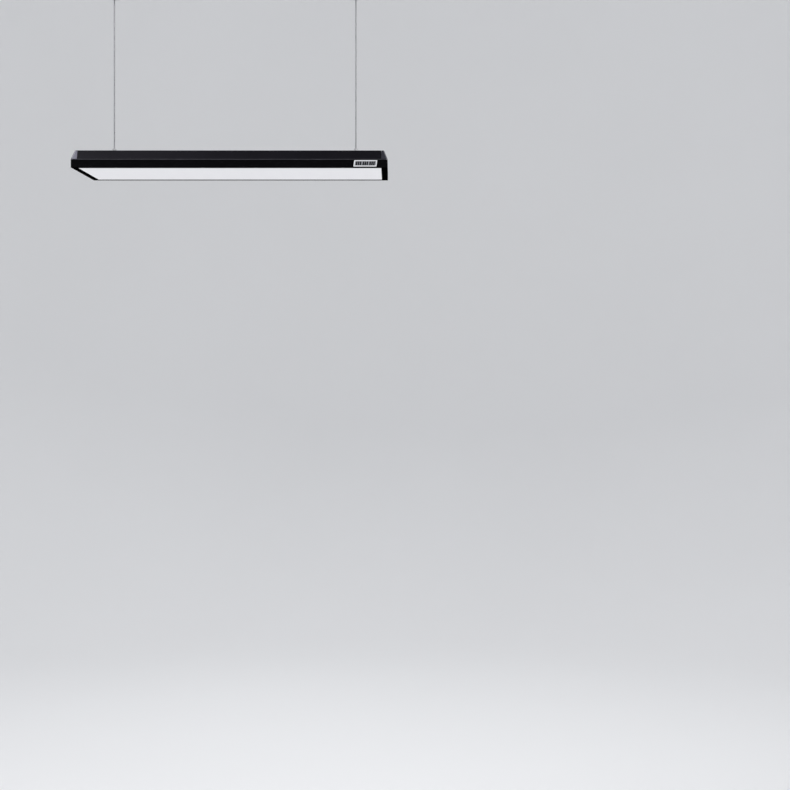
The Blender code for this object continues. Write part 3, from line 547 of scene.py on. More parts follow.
spring = {
    "wireRadius": 0.0002,
    "wireSides": 12,
    "coilRadius": 0.0030,
    "turns": 3,
    "stepsPerTurn": 28,
    "travel": 0.0015,
    "sharpAngle": 60,
}


def tubeRings(bm, points, radius, sides):
    # a round tube that follows the points, closed at both ends
    rings = []
    up = Vector((0, 0, 1))
    for k, point in enumerate(points):
        ahead = points[min(k + 1, len(points) - 1)] - points[max(k - 1, 0)]
        ahead.normalize()
        across = ahead.cross(up)
        if across.length < shaping["nearlyUpright"]:
            across = ahead.cross(Vector((1, 0, 0)))
        across.normalize()
        over = across.cross(ahead)
        rings.append([
            bm.verts.new(point + (across * math.cos(a) + over * math.sin(a)) * radius)
            for a in (2 * math.pi * i / sides for i in range(sides))
        ])
    for a, b in zip(rings, rings[1:]):
        for i in range(sides):
            j = (i + 1) % sides
            bm.faces.new((a[i], a[j], b[j], b[i]))
    bm.faces.new(rings[0])
    bm.faces.new(rings[-1])


def makeSpring(side):
    low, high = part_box("gripper_spring_" + side)
    radius = spring["wireRadius"]
    count = spring["turns"] * spring["stepsPerTurn"]
    points = []
    for k in range(count + 1):
        angle = 2 * math.pi * k / spring["stepsPerTurn"]
        z = low.z + radius + (high.z - low.z - 2 * radius) * k / count
        points.append(Vector((wireX[side] + spring["coilRadius"] * math.cos(angle),
                              spring["coilRadius"] * math.sin(angle), z)))
    bm = bmesh.new()
    tubeRings(bm, points, radius, spring["wireSides"])
    obj = meshFrom("gripperSpring_" + side, bm, spring["sharpAngle"])
    standsFor(obj, "gripper_spring_" + side, "lamp", satinFinish)
    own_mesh(obj)


for side in sides:
    makeGripperBody(side)
    makeCollar(side)
    makeSpring(side)
    for part in ("gripper_nut_", "gripper_washer_"):
        cadFinish(part + side, zincFinish)
    cadFinish("wire_stop_" + side, nickelFinish)
print("grippers made")


ceilingFitting = {
    "steps": 96,
    "cupSharpAngle": 28,
    # radius and height under the ceiling, in millimetres
    "base": [
        (18, 0), (18, -1.4), (17.7, -1.7), (17.7, -2.1), (18, -2.4), (18, -4), (13.5, -4),
        (13.5, -12), (4.6, -12), (4.6, -8), (2.3, -8), (2.3, 0),
    ],
    "cupRim": [(17.6, -4.3), (18, -4.7)],
    "cupRound": {"radius": 5, "side": 18, "from": -23, "steps": 8},
    "cupInside": [
        (5.2, -28), (4.5, -27.6), (2.4, -22.85), (5.9, -19), (13.8, -15), (13.8, -4.3),
    ],
}


def brushedRound():
    finish = Finish("brushedRound", (0.43, 0.43, 0.44), roughness=0.34, metallic=1.0)
    lines = finish.noise(scale=2600, detail=3, stretch=(0.02, 0.02, 1))
    finish.tint(lines, low=0.92, high=1.06)
    finish.vary(lines, low=0.28, high=0.42)
    finish.raised(lines, depth=0.00001, strength=0.4)
    return finish.material


def makeCeilingBase(side, material):
    base = turnedPiece("ceilingBase_" + side, inMetres(ceilingFitting["base"]),
                       (wireX[side], 0, 0), ceilingFitting["steps"])
    standsFor(base, "ceiling_base_" + side, "ceiling", material)


def makeCeilingCup(side, material):
    lip = ceilingFitting["cupRound"]
    rounded = []
    for k in range(lip["steps"] + 1):
        a = math.radians(90 * k / lip["steps"])
        rounded.append((lip["side"] - lip["radius"] * (1 - math.cos(a)),
                        lip["from"] - lip["radius"] * math.sin(a)))
    profile = inMetres([*ceilingFitting["cupRim"], *rounded, *ceilingFitting["cupInside"]])
    cup = turnedPiece("ceilingCup_" + side, profile, (wireX[side], 0, 0), ceilingFitting["steps"],
                      sharpAngle=ceilingFitting["cupSharpAngle"])
    standsFor(cup, "ceiling_cup_" + side, "ceiling", material)


ceilingScrew = {
    "steps": 48,
    "head": 0.0043,
    "headFace": 0.0036,
    "headHeight": 0.0028,
    "headRound": 0.0008,
    "shank": 0.0020,
    "crossTop": 0.0020,
    "crossFloor": 0.0017,
    "crossDepth": 0.0015,
    "crossWaist": 0.42,  # the cross's narrowest radius as a share of its widest
    "crossSharpness": 6,
    "threadPitch": 0.0016,
    "threadDepth": 0.00062,
    "threadFrom": 0.0010,
    "threadTo": 0.0195,
    "threadSteps": 9,
    "ridgeSteepness": 3.2,
    "tip": 0.0010,
    "tipHeight": 0.0012,
}


def crossAndThread(kind, radius, angle, height):
    size = ceilingScrew
    if kind == "cross":
        arm = abs(math.cos(2 * angle)) ** size["crossSharpness"]
        return radius * (size["crossWaist"] + (1 - size["crossWaist"]) * arm)
    turn = (height / size["threadPitch"] - angle / (2 * math.pi)) % 1
    ridge = max(0.0, 1 - abs(turn - 0.5) * size["ridgeSteepness"])
    return radius - size["threadDepth"] * (1 - ridge)


def makeCeilingScrew(side, material):
    size = ceilingScrew
    low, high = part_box("ceiling_screw_" + side)
    head, shank = size["head"], size["shank"]
    crossFloor, headTop = low.z + size["crossDepth"], low.z + size["headHeight"]
    start, end = size["threadFrom"], size["threadTo"]
    rings = [
        (0, crossFloor), (size["crossFloor"], crossFloor, "cross"),
        (size["crossTop"], low.z, "cross"), (size["headFace"], low.z),
        (head, low.z + size["headRound"]), (head, headTop), (shank, headTop), (shank, start),
    ]
    count = int((end - start) / size["threadPitch"] * size["threadSteps"])
    for k in range(count + 1):
        rings.append((shank, start + (end - start) * k / count, "thread"))
    rings += [(size["tip"], high.z - size["tipHeight"]), (0, high.z)]
    screw = turnedPiece("ceilingScrew_" + side, rings, (wireX[side], 0, 0), size["steps"],
                        closed=False, soft=0, shape=crossAndThread)
    standsFor(screw, "ceiling_screw_" + side, "ceiling", material)


roundFinish = brushedRound()
for side in sides:
    makeCeilingBase(side, roundFinish)
    makeCeilingCup(side, roundFinish)
    makeCeilingScrew(side, zincFinish)
print("ceiling fittings made")


housing = {
    "edge": 0.00045,
    "beadTop": 0.0160,  # above the lamp's underside
    "uprightWithin": 0.2,
    "cornerFrom": 0.08,  # how far a corner's faces turn away from the flats
    "colour": (0.0056, 0.0052, 0.0074),
    # the bead's and broken edges' colour is a painted highlight
    "beadHighlightColour": (0.050, 0.049, 0.056),
    "capColour": (0.042, 0.041, 0.051),
    # the corners' colour is a painted highlight
    "cornerHighlightColour": (0.17, 0.17, 0.185),
}


def anodisedHousing():
    # drawn aluminium under a blue-black anodised skin, with faint lines along its length
    finish = Finish("blueBlackAnodised", housing["colour"], roughness=0.42, metallic=0.28,
                    specular=0.05)
    lines = finish.noise(scale=2600, detail=2, stretch=(0.004, 1, 1), rough=0.5)
    cloud = finish.noise(scale=9, detail=3)
    finish.tint(cloud, low=0.86, high=1.16)
    finish.vary(lines, low=0.38, high=0.50)
    finish.raised(lines, depth=0.000006, strength=0.4)
    finish.raised(finish.noise(scale=5200, detail=2), depth=0.000006, strength=0.4)
    return finish.material


def paintedHighlightBead():
    # the bead and the broken edges, their colour painted lighter as a highlight along them
    finish = Finish("beadPaintedHighlight", housing["beadHighlightColour"], roughness=0.38, metallic=0.9)
    lines = finish.noise(scale=2600, detail=2, stretch=(0.004, 1, 1), rough=0.5)
    finish.tint(finish.noise(scale=60, detail=4), low=0.80, high=1.15)
    finish.vary(lines, low=0.32, high=0.46)
    finish.raised(lines, depth=0.000006, strength=0.4)
    return finish.material


def anodisedCap():
    # a cast cap, bead blasted before it was anodised
    finish = Finish("gunmetalAnodised", housing["capColour"], roughness=0.35, metallic=0.95)
    grain = finish.noise(scale=3000, detail=3, rough=0.7)
    finish.tint(grain, low=0.88, high=1.12)
    finish.vary(finish.noise(scale=40, detail=3), low=0.32, high=0.38)
    finish.raised(grain, depth=0.000008, strength=0.4)
    return finish.material


def paintedHighlightCorner():
    # the caps' corners and broken edges, painted a little brighter as a highlight
    finish = Finish("paintedHighlightCorner", housing["cornerHighlightColour"], roughness=0.40, metallic=0.95)
    grain = finish.noise(scale=1800, detail=3, stretch=(1, 1, 0.05), rough=0.6)
    finish.tint(finish.noise(scale=90, detail=3), low=0.86, high=1.10)
    finish.vary(grain, low=0.34, high=0.46)
    finish.raised(grain, depth=0.000006, strength=0.5)
    return finish.material


# bead faces take slot 1, the painted highlight finish
def beadHighlightOrSlope(face):
    height = face.calc_center_median().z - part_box("lower_frame")[0].z
    upright = abs(face.normal.z) < housing["uprightWithin"]
    return 1 if height < housing["beadTop"] and upright else 0


# corner faces take slot 1, the painted highlight finish
def cornerHighlightOrFlat(face):
    return 1 if min(abs(face.normal.x), abs(face.normal.y)) > housing["cornerFrom"] else 0


def makeHousing():
    edge = housing["edge"]
    beadHighlightFinish = paintedHighlightBead()
    top = fineCopy("topHousing", "top_housing", edge, edgeSlot=1, slotFor=beadHighlightOrSlope)
    standsFor(top, "top_housing", "lamp", anodisedHousing(), beadHighlightFinish)
    capSkin, cornerHighlightFinish = anodisedCap(), paintedHighlightCorner()
    for side in sides:
        cap = fineCopy("endCap_" + side, "end_cap_" + side, edge, edgeSlot=1, slotFor=cornerHighlightOrFlat)
        standsFor(cap, "end_cap_" + side, "lamp", capSkin, cornerHighlightFinish)


makeHousing()
print("housing and end caps made")


frameRing = {
    "edge": 0.00030,
    "facesDown": -0.9,
    "colour": (0.0015, 0.0014, 0.0019),
    # the downward faces' colour is painted shade
    "underShadeColour": (0.0008, 0.0008, 0.0009),
    # the edges' colour is a painted highlight
    "edgeHighlightColour": (0.006, 0.006, 0.0065),
}


def mouldedBlack():
    # fine spark-eroded moulding texture
    finish = Finish("mouldedBlack", frameRing["colour"], roughness=0.50, specular=0.03)
    grain = finish.noise(scale=2400, detail=4, rough=0.65)
    finish.tint(finish.noise(scale=14, detail=3), low=0.85, high=1.2)
    finish.vary(grain, low=0.46, high=0.60)
    finish.raised(grain, depth=0.00001, strength=0.5)
    return finish.material


def paintedShadeUnderBlack():
    # the lip round the panel, dead matt, its colour darker as painted shade on the downward faces
    finish = Finish("underPaintedShadeBlack", frameRing["underShadeColour"], roughness=0.90, specular=0.0)
    grain = finish.noise(scale=3600, detail=4, rough=0.7)
    finish.tint(grain, low=0.6, high=1.5)
    finish.vary(finish.noise(scale=900, detail=3), low=0.84, high=0.96)
    finish.raised(grain, depth=0.00002, strength=0.6)
    return finish.material


def paintedHighlightEdgeBlack():
    # the moulding's edges, with a slight shine and a colour painted lighter as a highlight
    finish = Finish("edgeHighlightBlack", frameRing["edgeHighlightColour"], roughness=0.42, specular=0.12)
    finish.tint(finish.noise(scale=200, detail=3), low=0.7, high=1.3)
    finish.vary(finish.noise(scale=900, detail=3), low=0.36, high=0.50)
    finish.raised(finish.noise(scale=2400, detail=3), depth=0.000008, strength=0.5)
    return finish.material


# downward faces take slot 2, the painted shade finish
def underShadeOrSide(face):
    return 2 if face.normal.z < frameRing["facesDown"] else 0


ring = fineCopy("lowerFrame", "lower_frame", frameRing["edge"], edgeSlot=1, slotFor=underShadeOrSide)
standsFor(ring, "lower_frame", "lamp", mouldedBlack(), paintedHighlightEdgeBlack(), paintedShadeUnderBlack())
print("lower frame made")


diffuser = {
    "edge": 0.0002,
    "colour": (0.42, 0.42, 0.435),
    "spotGlow": (0.975, 0.975, 1.0),
    "betweenGlow": (0.945, 0.945, 0.975),
    "strength": 0.42,
    "ledPitch": 0.040,
}


def opalAcrylic():
    # milky sheet lit from behind, very slightly brighter under each LED
    finish = Finish("opalAcrylic", diffuser["colour"], roughness=0.46, specular=0.12)
    finish.tint(finish.noise(scale=24, detail=3), low=0.985, high=1.0)
    finish.vary(finish.noise(scale=1800, detail=3), low=0.42, high=0.52)
    finish.raised(finish.noise(scale=2600, detail=2), depth=0.00001, strength=0.4)
    spots = finish.add("ShaderNodeSeparateXYZ")
    finish.join(finish.place((2 * math.pi / diffuser["ledPitch"],) * 3), spots.inputs["Vector"])
    waves = []
    for axis in "XY":
        wave = finish.add("ShaderNodeMath", operation="COSINE")
        finish.join(spots.outputs[axis], wave.inputs[0])
        waves.append(wave.outputs["Value"])
    both = finish.add("ShaderNodeMath", operation="ADD")
    for wave, socket in zip(waves, both.inputs):
        finish.join(wave, socket)
    share = finish.spread(both.outputs["Value"], low=0, high=1, fromLow=-2, fromHigh=2)
    glow = finish.blendColours(share, diffuser["betweenGlow"], diffuser["spotGlow"])
    finish.join(glow, finish.shader.inputs["Emission Color"])
    finish.shader.inputs["Emission Strength"].default_value = diffuser["strength"]
    return finish.material


panel = fineCopy("diffuserPanel", "diffuser_panel", diffuser["edge"])
standsFor(panel, "diffuser_panel", "lamp", opalAcrylic())
print("diffuser made")


badge = {
    "slant": 0.0017,
    "rim": 0.0016,
    "rimRise": 0.00022,
    "rounding": 0.0007,
    "roundingSteps": 5,
    "sharpAngle": 40,
    "edgeWidth": 0.0002,  # how far the rim's rounded edges reach in
    "edgeBreak": 0.00006,
    "edgeDrop": 0.00008,
    "innerDrop": 0.00006,
    "fieldEdge": 0.0001,
    "fieldLift": 0.00004,
    "fieldSink": 0.0001,
    "fieldBreak": 0.00003,
    "fieldDrop": 0.00001,
    "fieldRounding": 0.6,
    "groups": 3,
    "barsPerGroup": 3,
    "barWidth": 0.0028,
    "barGap": 0.0009,
    "groupGap": 0.0025,
    "barHeight": 0.0073,
    "barRise": 0.00012,
    "barSink": 0.00005,
    "barShoulder": 0.6,
    "barBreak": 0.00008,
    "barRounding": 0.2,
    "barRoundingSteps": 3,
}


def slantedOutline(left, right, low, high, slant, rounding, steps=badge["roundingSteps"]):
    # a leaning four-sided outline with round corners, walked anticlockwise from the front
    lean = slant / (high - low)
    centres = [(left + rounding, low + rounding), (right - rounding, low + rounding),
               (right - rounding, high - rounding), (left + rounding, high - rounding)]
    points = []
    for k, (x, z) in enumerate(centres):
        for i in range(steps + 1):
            a = math.radians(180 + 90 * k + 90 * i / steps)
            px, pz = x + rounding * math.cos(a), z + rounding * math.sin(a)
            points.append((px + (pz - high) * lean, pz))
    return points


def layered(bm, outline, levels):
    # stacks copies of an outline along -Y; each level is how far in, and its y
    rings = []
    cx = sum(p[0] for p in outline) / len(outline)
    cz = sum(p[1] for p in outline) / len(outline)
    wide = max(p[0] for p in outline) - cx
    tall = max(p[1] for p in outline) - cz
    for inset, y in levels:
        ring = []
        for x, z in outline:
            ring.append(bm.verts.new((cx + (x - cx) * (1 - inset / wide), y,
                                      cz + (z - cz) * (1 - inset / tall))))
        rings.append(ring)
    count = len(outline)
    for a, b in zip(rings, rings[1:]):
        for i in range(count):
            j = (i + 1) % count
            bm.faces.new((a[i], a[j], b[j], b[i]))
    bm.faces.new(rings[0])
    bm.faces.new(rings[-1])


def badgeSilver():
    finish = Finish("badgeSilver", (0.89, 0.89, 0.90), roughness=0.32, metallic=0.45)
    lines = finish.noise(scale=1500, detail=3, stretch=(0.02, 1, 1))
    finish.tint(lines, low=0.95, high=1.03)
    finish.vary(lines, low=0.24, high=0.38)
    finish.raised(lines, depth=0.000004, strength=0.4)
    return finish.material


def badgeField():
    finish = Finish("badgeField", (0.34, 0.34, 0.36), roughness=0.42, metallic=1.0)
    lines = finish.noise(scale=2400, detail=3, stretch=(0.015, 1, 1))
    finish.tint(lines, low=0.86, high=1.06)
    finish.vary(lines, low=0.34, high=0.50)
    finish.raised(lines, depth=0.000006, strength=0.5)
    return finish.material


def badgeEnamel():
    finish = Finish("badgeEnamel", (0.008, 0.008, 0.010), roughness=0.38, specular=0.08)
    finish.tint(finish.noise(scale=600, detail=3), low=0.85, high=1.2)
    finish.vary(finish.noise(scale=900, detail=2), low=0.32, high=0.46)
    return finish.material


def makePlate(low, high):
    front, rim, width = low.y, badge["rim"], badge["edgeWidth"]
    outline = slantedOutline(low.x + badge["slant"], high.x, low.z, high.z, badge["slant"],
                             badge["rounding"])
    bm = bmesh.new()
    layered(bm, outline, [
        (0, high.y), (0, front + badge["rimRise"]), (badge["edgeBreak"], front + badge["edgeDrop"]),
        (width, front), (rim - width, front),
        (rim - badge["edgeBreak"], front + badge["innerDrop"]), (rim, front + badge["rimRise"]),
    ])
    plate = meshFrom("nameBadge", bm, badge["sharpAngle"])
    standsFor(plate, "name_badge", "lamp", badgeSilver())


def makeField(low, high, face):
    slant, tall = badge["slant"], high.z - low.z
    inset = badge["rim"] + badge["fieldEdge"]
    outline = slantedOutline(low.x + slant + inset, high.x - inset * (1 + slant / tall),
                             low.z + inset, high.z - inset, slant * (1 - 2 * inset / tall),
                             badge["rounding"] * badge["fieldRounding"])
    bm = bmesh.new()
    layered(bm, outline, [
        (0, low.y + badge["rimRise"] + badge["fieldSink"]), (0, face + badge["fieldDrop"]),
        (badge["fieldBreak"], face),
    ])
    goesOn(meshFrom("badgeField", bm, badge["sharpAngle"]), "badge", "lamp", badgeField())


def makeBars(low, high, face):
    enamel = badgeEnamel()
    bar, gap, perGroup = badge["barWidth"], badge["barGap"], badge["barsPerGroup"]
    group = perGroup * bar + (perGroup - 1) * gap
    whole = badge["groups"] * group + (badge["groups"] - 1) * badge["groupGap"]
    start = (low.x + high.x - whole) / 2
    middle = (low.z + high.z) / 2
    lean = badge["slant"] / (high.z - low.z)
    half = badge["barHeight"] / 2
    levels = [(0, face + badge["barSink"]), (0, face - badge["barRise"] * badge["barShoulder"]),
              (badge["barBreak"], face - badge["barRise"])]
    for g in range(badge["groups"]):
        bm = bmesh.new()
        for b in range(perGroup):
            x = start + g * (group + badge["groupGap"]) + b * (bar + gap)
            outline = slantedOutline(x + lean * half, x + bar + lean * half, middle - half,
                                     middle + half, lean * 2 * half, bar * badge["barRounding"],
                                     badge["barRoundingSteps"])
            layered(bm, outline, levels)
        bars = meshFrom(f"badgeBars_{g + 1}", bm, badge["sharpAngle"])
        goesOn(bars, "badge", "lamp", enamel)


def makeBadge():
    # a polished rim round a brushed field, with three groups of leaning enamel bars
    low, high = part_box("name_badge")
    face = low.y + badge["rimRise"] - badge["fieldLift"]
    makePlate(low, high)
    makeField(low, high, face)
    makeBars(low, high, face)


makeBadge()
print("badge made")


socketScrew = {
    "cap": {"head": 0.0027, "height": 0.0018, "shank": 0.00145, "socket": 0.00135},
    "frame": {"head": 0.0025, "height": 0.0013, "shank": 0.00125, "socket": 0.00120},
    "frameCount": 8,
    "steps": 48,
    "soft": 0.00006,
    # shares of the key hole's radius, or the head's, and of the head's height
    "hole": [(0, 0.35), (1, 0.38, "hex"), (1.02, 0.96, "hex"), (1.16, 1)],
    "rim": [(0.86, 1), (0.97, 0.86), (1, 0.68), (1, 0)],
}


def hexSocket(kind, radius, angle, height):
    part = math.radians(60)
    return radius * math.cos(part / 2) / math.cos(angle % part - part / 2)


def blackOxide():
    finish = Finish("blackOxide", (0.030, 0.030, 0.032), roughness=0.36, metallic=0.9)
    finish.tint(finish.noise(scale=800, detail=4), low=0.75, high=1.3)
    finish.vary(finish.noise(scale=1600, detail=3), low=0.28, high=0.46)
    finish.raised(finish.noise(scale=3000, detail=2), depth=0.00001, strength=0.5)
    return finish.material


def makeSocketScrew(node, size, axis, material):
    # the axis points out of the screw's head
    low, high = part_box(node)
    whole = max(high - low)
    height, shank = size["height"], size["shank"]
    length = whole - height
    profile = [(size["socket"] * r, height * h, *mark) for r, h, *mark in socketScrew["hole"]]
    profile += [(size["head"] * r, height * h) for r, h in socketScrew["rim"]]
    profile += [(shank, 0), (shank, -length + shank), (0, -length)]
    turn = Vector((0, 0, 1)).rotation_difference(Vector(axis)).to_matrix()
    place = (low + high) / 2 + Vector(axis) * (whole / 2 - height)
    screw = turnedPiece(node.replace("_screw", "Screw"), profile, place, socketScrew["steps"],
                        closed=False, soft=socketScrew["soft"], shape=hexSocket, turn=turn)
    standsFor(screw, node, "lamp", material)


screwFinish = blackOxide()
for side, way in sides.items():
    for row in ("front", "rear"):
        makeSocketScrew(f"cap_screw_{side}_{row}", socketScrew["cap"], (way, 0, 0), screwFinish)
for k in range(socketScrew["frameCount"]):
    makeSocketScrew(f"frame_screw_{k + 1}", socketScrew["frame"], (0, 0, -1), screwFinish)
print("screws made")


inlet = {
    "steps": 72,
    "barrel": 0.0060,
    "bore": 0.0046,
    "mouth": 0.0004,
    "lip": (0.0049, 0.0056),
    "neck": 0.0058,
    "neckHeight": 0.0005,
    "flange": 0.0080,
    "flangeFace": 0.0076,
    "flangeTop": 0.0036,
    "flangeRound": 0.0004,
    "floor": 0.0016,
    "foot": -0.0075,
    "threadPitch": 0.0008,
    "threadDepth": 0.00022,
    "threadSteps": 8,
    "threadUnderTop": 0.0007,
    "threadOverFlange": 0.0006,
    "pins": 3,
    "firstPin": 90,
    "pinReach": 0.0024,
    "pinRadius": 0.0006,
    "pinSides": 16,
    "pinRings": 8,
    "pinRoot": 0.0004,
    "pinUnderMiddle": 0.001,
    "tipDrop": 0.0006,
    "pinSharpAngle": 50,
}


def inletPlastic():
    finish = Finish("inletPlastic", (0.012, 0.012, 0.013), roughness=0.42, specular=0.4)
    grain = finish.noise(scale=2600, detail=3)
    finish.tint(finish.noise(scale=200, detail=3), low=0.8, high=1.25)
    finish.vary(grain, low=0.36, high=0.50)
    finish.raised(grain, depth=0.00002, strength=0.5)
    return finish.material


def inletThread(kind, radius, angle, height):
    turn = (height / inlet["threadPitch"] - angle / (2 * math.pi)) % 1
    return radius - inlet["threadDepth"] * abs(2 * turn - 1)


def inletRings(top):
    barrel, neck, flangeTop = inlet["barrel"], inlet["neck"], inlet["flangeTop"]
    floor, foot = inlet["floor"], inlet["foot"]
    rings = [(inlet["bore"], top - inlet["mouth"]), *((r, top) for r in inlet["lip"]),
             (barrel, top - inlet["mouth"])]
    z = top - inlet["threadUnderTop"]
    while z > flangeTop + inlet["threadOverFlange"]:
        rings.append((barrel, z, "thread"))
        z -= inlet["threadPitch"] / inlet["threadSteps"]
    return rings + [
        (neck, flangeTop + inlet["neckHeight"]), (neck, flangeTop),
        (inlet["flangeFace"], flangeTop),
        (inlet["flange"], flangeTop - inlet["flangeRound"]), (inlet["flange"], floor),
        (barrel, floor), (barrel, foot), (0, foot), (0, floor), (inlet["bore"], floor),
    ]


def makePins(x, y, top):
    pinTop = (inlet["floor"] + top) / 2 - inlet["pinUnderMiddle"]
    radius, reach, up = inlet["pinRadius"], inlet["pinReach"], Vector((0, 0, 1))
    bm = bmesh.new()
    for k in range(inlet["pins"]):
        a = math.radians(inlet["firstPin"] + 360 * k / inlet["pins"])
        spot = Vector((x + reach * math.cos(a), y + reach * math.sin(a), lampTop))
        ends = [spot + up * (z - inlet["pinRoot"]) for z in (inlet["floor"], pinTop)]
        tubeRings(bm, ends, radius, inlet["pinSides"])
        tip = Matrix.Translation(spot + up * (pinTop - inlet["tipDrop"]))
        bmesh.ops.create_uvsphere(bm, u_segments=inlet["pinSides"], v_segments=inlet["pinRings"],
                                  radius=radius, matrix=tip)
    goesOn(meshFrom("inletPins", bm, inlet["pinSharpAngle"]), "nickel", "lamp", nickelFinish)


def makeInlet():
    low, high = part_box("inlet_socket")
    x, y = (low.x + high.x) / 2, (low.y + high.y) / 2
    top = high.z - lampTop
    socket = turnedPiece("inletSocket", inletRings(top), (x, y, lampTop), inlet["steps"], soft=0,
                         shape=inletThread)
    standsFor(socket, "inlet_socket", "lamp", inletPlastic())
    makePins(x, y, top)


makeInlet()
print("inlet made")


# the inner parts stay as the CAD has them, each in its own finish
inner = {
    "padSilicone": {"colour": (0.34, 0.44, 0.55), "roughness": 0.75,
                    "grain": 1500, "depth": 0.00004},
    "leadJacket": {"colour": (0.028, 0.028, 0.030), "roughness": 0.45,
                   "grain": 900, "depth": 0.00002},
    "millAluminium": {"colour": (0.70, 0.71, 0.73), "roughness": 0.32, "metallic": 1.0,
                      "grain": 1200, "depth": 0.00002, "stretch": (0.006, 1, 1)},
    "whiteSheet": {"colour": (0.88, 0.88, 0.87), "roughness": 0.30,
                   "grain": 2000, "depth": 0.00002},
    "sealSilicone": {"colour": (0.68, 0.68, 0.66), "roughness": 0.55,
                     "grain": 1400, "depth": 0.00003},
    "sealRubber": {"colour": (0.016, 0.016, 0.016), "roughness": 0.70,
                   "grain": 1600, "depth": 0.00004},
}
boards = {
    "white": (0.86, 0.86, 0.83),
    "trackScale": 50,
    "trackWidth": 0.03,
    "green": (0.015, 0.13, 0.05),
    "copper": (0.10, 0.24, 0.06),
    "cellScale": 260,
}


def boardWhite():
    # white solder mask over a faint pattern of tracks
    finish = Finish("boardWhite", boards["white"], roughness=0.36, specular=0.5)
    tracks = finish.add("ShaderNodeTexBrick")
    tracks.inputs["Scale"].default_value = boards["trackScale"]
    tracks.inputs["Mortar Size"].default_value = boards["trackWidth"]
    finish.join(finish.place(), tracks.inputs["Vector"])
    finish.tint(tracks.outputs["Fac"], low=1.0, high=0.90, fromLow=0.0, fromHigh=1.0)
    finish.vary(finish.noise(scale=400, detail=3), low=0.30, high=0.44)
    finish.raised(tracks.outputs["Fac"], depth=0.00003, strength=0.6)
    return finish.material


def circuitGreen():
    # green mask with small lighter cells, like parts and pads
    finish = Finish("circuitGreen", boards["green"], roughness=0.34, specular=0.5)
    cells = finish.add("ShaderNodeTexVoronoi", distance="MANHATTAN")
    cells.inputs["Scale"].default_value = boards["cellScale"]
    finish.join(finish.place(), cells.inputs["Vector"])
    mix = finish.spread(cells.outputs["Distance"], low=0, high=1, fromLow=0.25, fromHigh=0.32)
    skin = finish.blendColours(mix, boards["copper"], boards["green"])
    finish.join(skin, finish.shader.inputs["Base Color"])
    finish.vary(finish.noise(scale=500, detail=3), low=0.26, high=0.44)
    finish.raised(mix, depth=0.00003, strength=0.5)
    return finish.material


def plainFinish(name):
    look = inner[name]
    roughness, grain, stretch = look["roughness"], look["grain"], look.get("stretch", (1, 1, 1))
    finish = Finish(name, look["colour"], roughness, look.get("metallic", 0))
    fine = finish.noise(scale=grain, detail=4, stretch=stretch, rough=0.6)
    finish.tint(fine, low=0.86, high=1.12)
    broad = finish.noise(scale=grain * 0.6, detail=3, stretch=stretch)
    finish.vary(broad, low=roughness * 0.8, high=roughness * 1.25)
    finish.raised(fine, depth=look["depth"], strength=0.6)
    return finish.material


boardFinish = boardWhite()
padFinish = plainFinish("padSilicone")
leadFinish = plainFinish("leadJacket")
for side in sides:
    cadFinish("led_board_" + side, boardFinish)
    cadFinish("thermal_pad_" + side, padFinish)
    cadFinish("led_lead_" + side, leadFinish)
    for k in (1, 2):
        cadFinish(f"board_screw_{side}_{k}", zincFinish)
cadFinish("supply_lead", leadFinish)
for k in (1, 2):
    cadFinish(f"driver_screw_{k}", zincFinish)
cadFinish("driver_board", circuitGreen())
cadFinish("heat_spreader", plainFinish("millAluminium"))
cadFinish("reflector", plainFinish("whiteSheet"))
cadFinish("diffuser_seal", plainFinish("sealSilicone"))
cadFinish("inlet_seal", plainFinish("sealRubber"))
cadFinish("inlet_nut", nickelFinish)
print("inner parts finished")


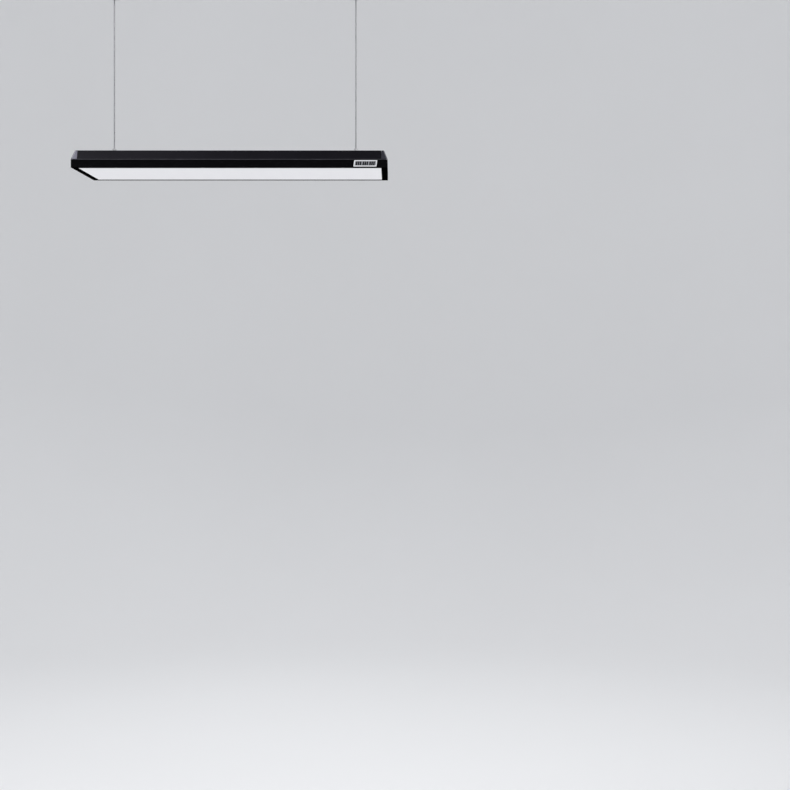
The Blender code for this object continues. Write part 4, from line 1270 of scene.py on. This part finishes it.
studio = {
    "floorHeight": -2.4,
    "floorRadius": 7.0,
    "coveRadius": 2.2,
    "coveSteps": 12,
    "wallTop": 4.6,
    "steps": 96,
    "sharpAngle": 60,
    "colour": (0.80, 0.80, 0.80),
    "worldColour": (0.93, 0.95, 1.0),
    "worldStrength": 0.68,
    "lights": [
        # name, place, aimed at, size, watts
        ("key", (-1.45, -2.15, 1.82), (-0.15, 0, -0.35), 0.9, 60),
        ("fill", (3.2, -2.6, 0.6), (0, 0, -0.3), 2.8, 40),
        ("back", (0.4, 3.4, 2.6), (0, 0, -0.3), 2.6, 110),
    ],
}


def makeStage():
    # a round sweep: flat floor, curved cove, upright wall
    wide, cove, steps = studio["floorRadius"], studio["coveRadius"], studio["steps"]
    profile = [(0, 0), (wide - cove, 0)]
    for k in range(1, studio["coveSteps"] + 1):
        a = math.radians(90 * k / studio["coveSteps"])
        profile.append((wide - cove * (1 - math.sin(a)), cove * (1 - math.cos(a))))
    profile.append((wide, studio["wallTop"]))
    bm = bmesh.new()
    rings = []
    for r, z in profile:
        z += studio["floorHeight"]
        angles = [2 * math.pi * i / steps for i in range(steps if r else 1)]
        rings.append([bm.verts.new((r * math.cos(a), r * math.sin(a), z)) for a in angles])
    for a, b in zip(rings, rings[1:]):
        for i in range(steps):
            j = (i + 1) % steps
            bm.faces.new((a[0], b[i], b[j]) if len(a) == 1 else (a[i], b[i], b[j], a[j]))
    stage = meshFrom("studioSweep", bm, studio["sharpAngle"])
    stage.data.flip_normals()
    finish = Finish("studioPaint", studio["colour"], roughness=0.85, specular=0.2)
    finish.tint(finish.noise(scale=0.6, detail=2), low=0.99, high=1.01)
    stage.data.materials.append(finish.material)


def makeLights():
    for name, place, aim, size, watts in studio["lights"]:
        data = bpy.data.lights.new(name, "AREA")
        data.shape = "DISK"
        data.size = size
        data.energy = watts
        obj = linkNew(name, data)
        obj.location = place
        way = Vector(aim) - Vector(place)
        obj.rotation_euler = way.to_track_quat("-Z", "Y").to_euler()
    world = bpy.data.worlds.new("studioAir")
    world.use_nodes = True
    air = world.node_tree.nodes["Background"]
    air.inputs["Color"].default_value = (*studio["worldColour"], 1)
    air.inputs["Strength"].default_value = studio["worldStrength"]
    bpy.context.scene.world = world
    bpy.context.scene.view_settings.view_transform = "Standard"


makeStage()
makeLights()
print("studio ready")
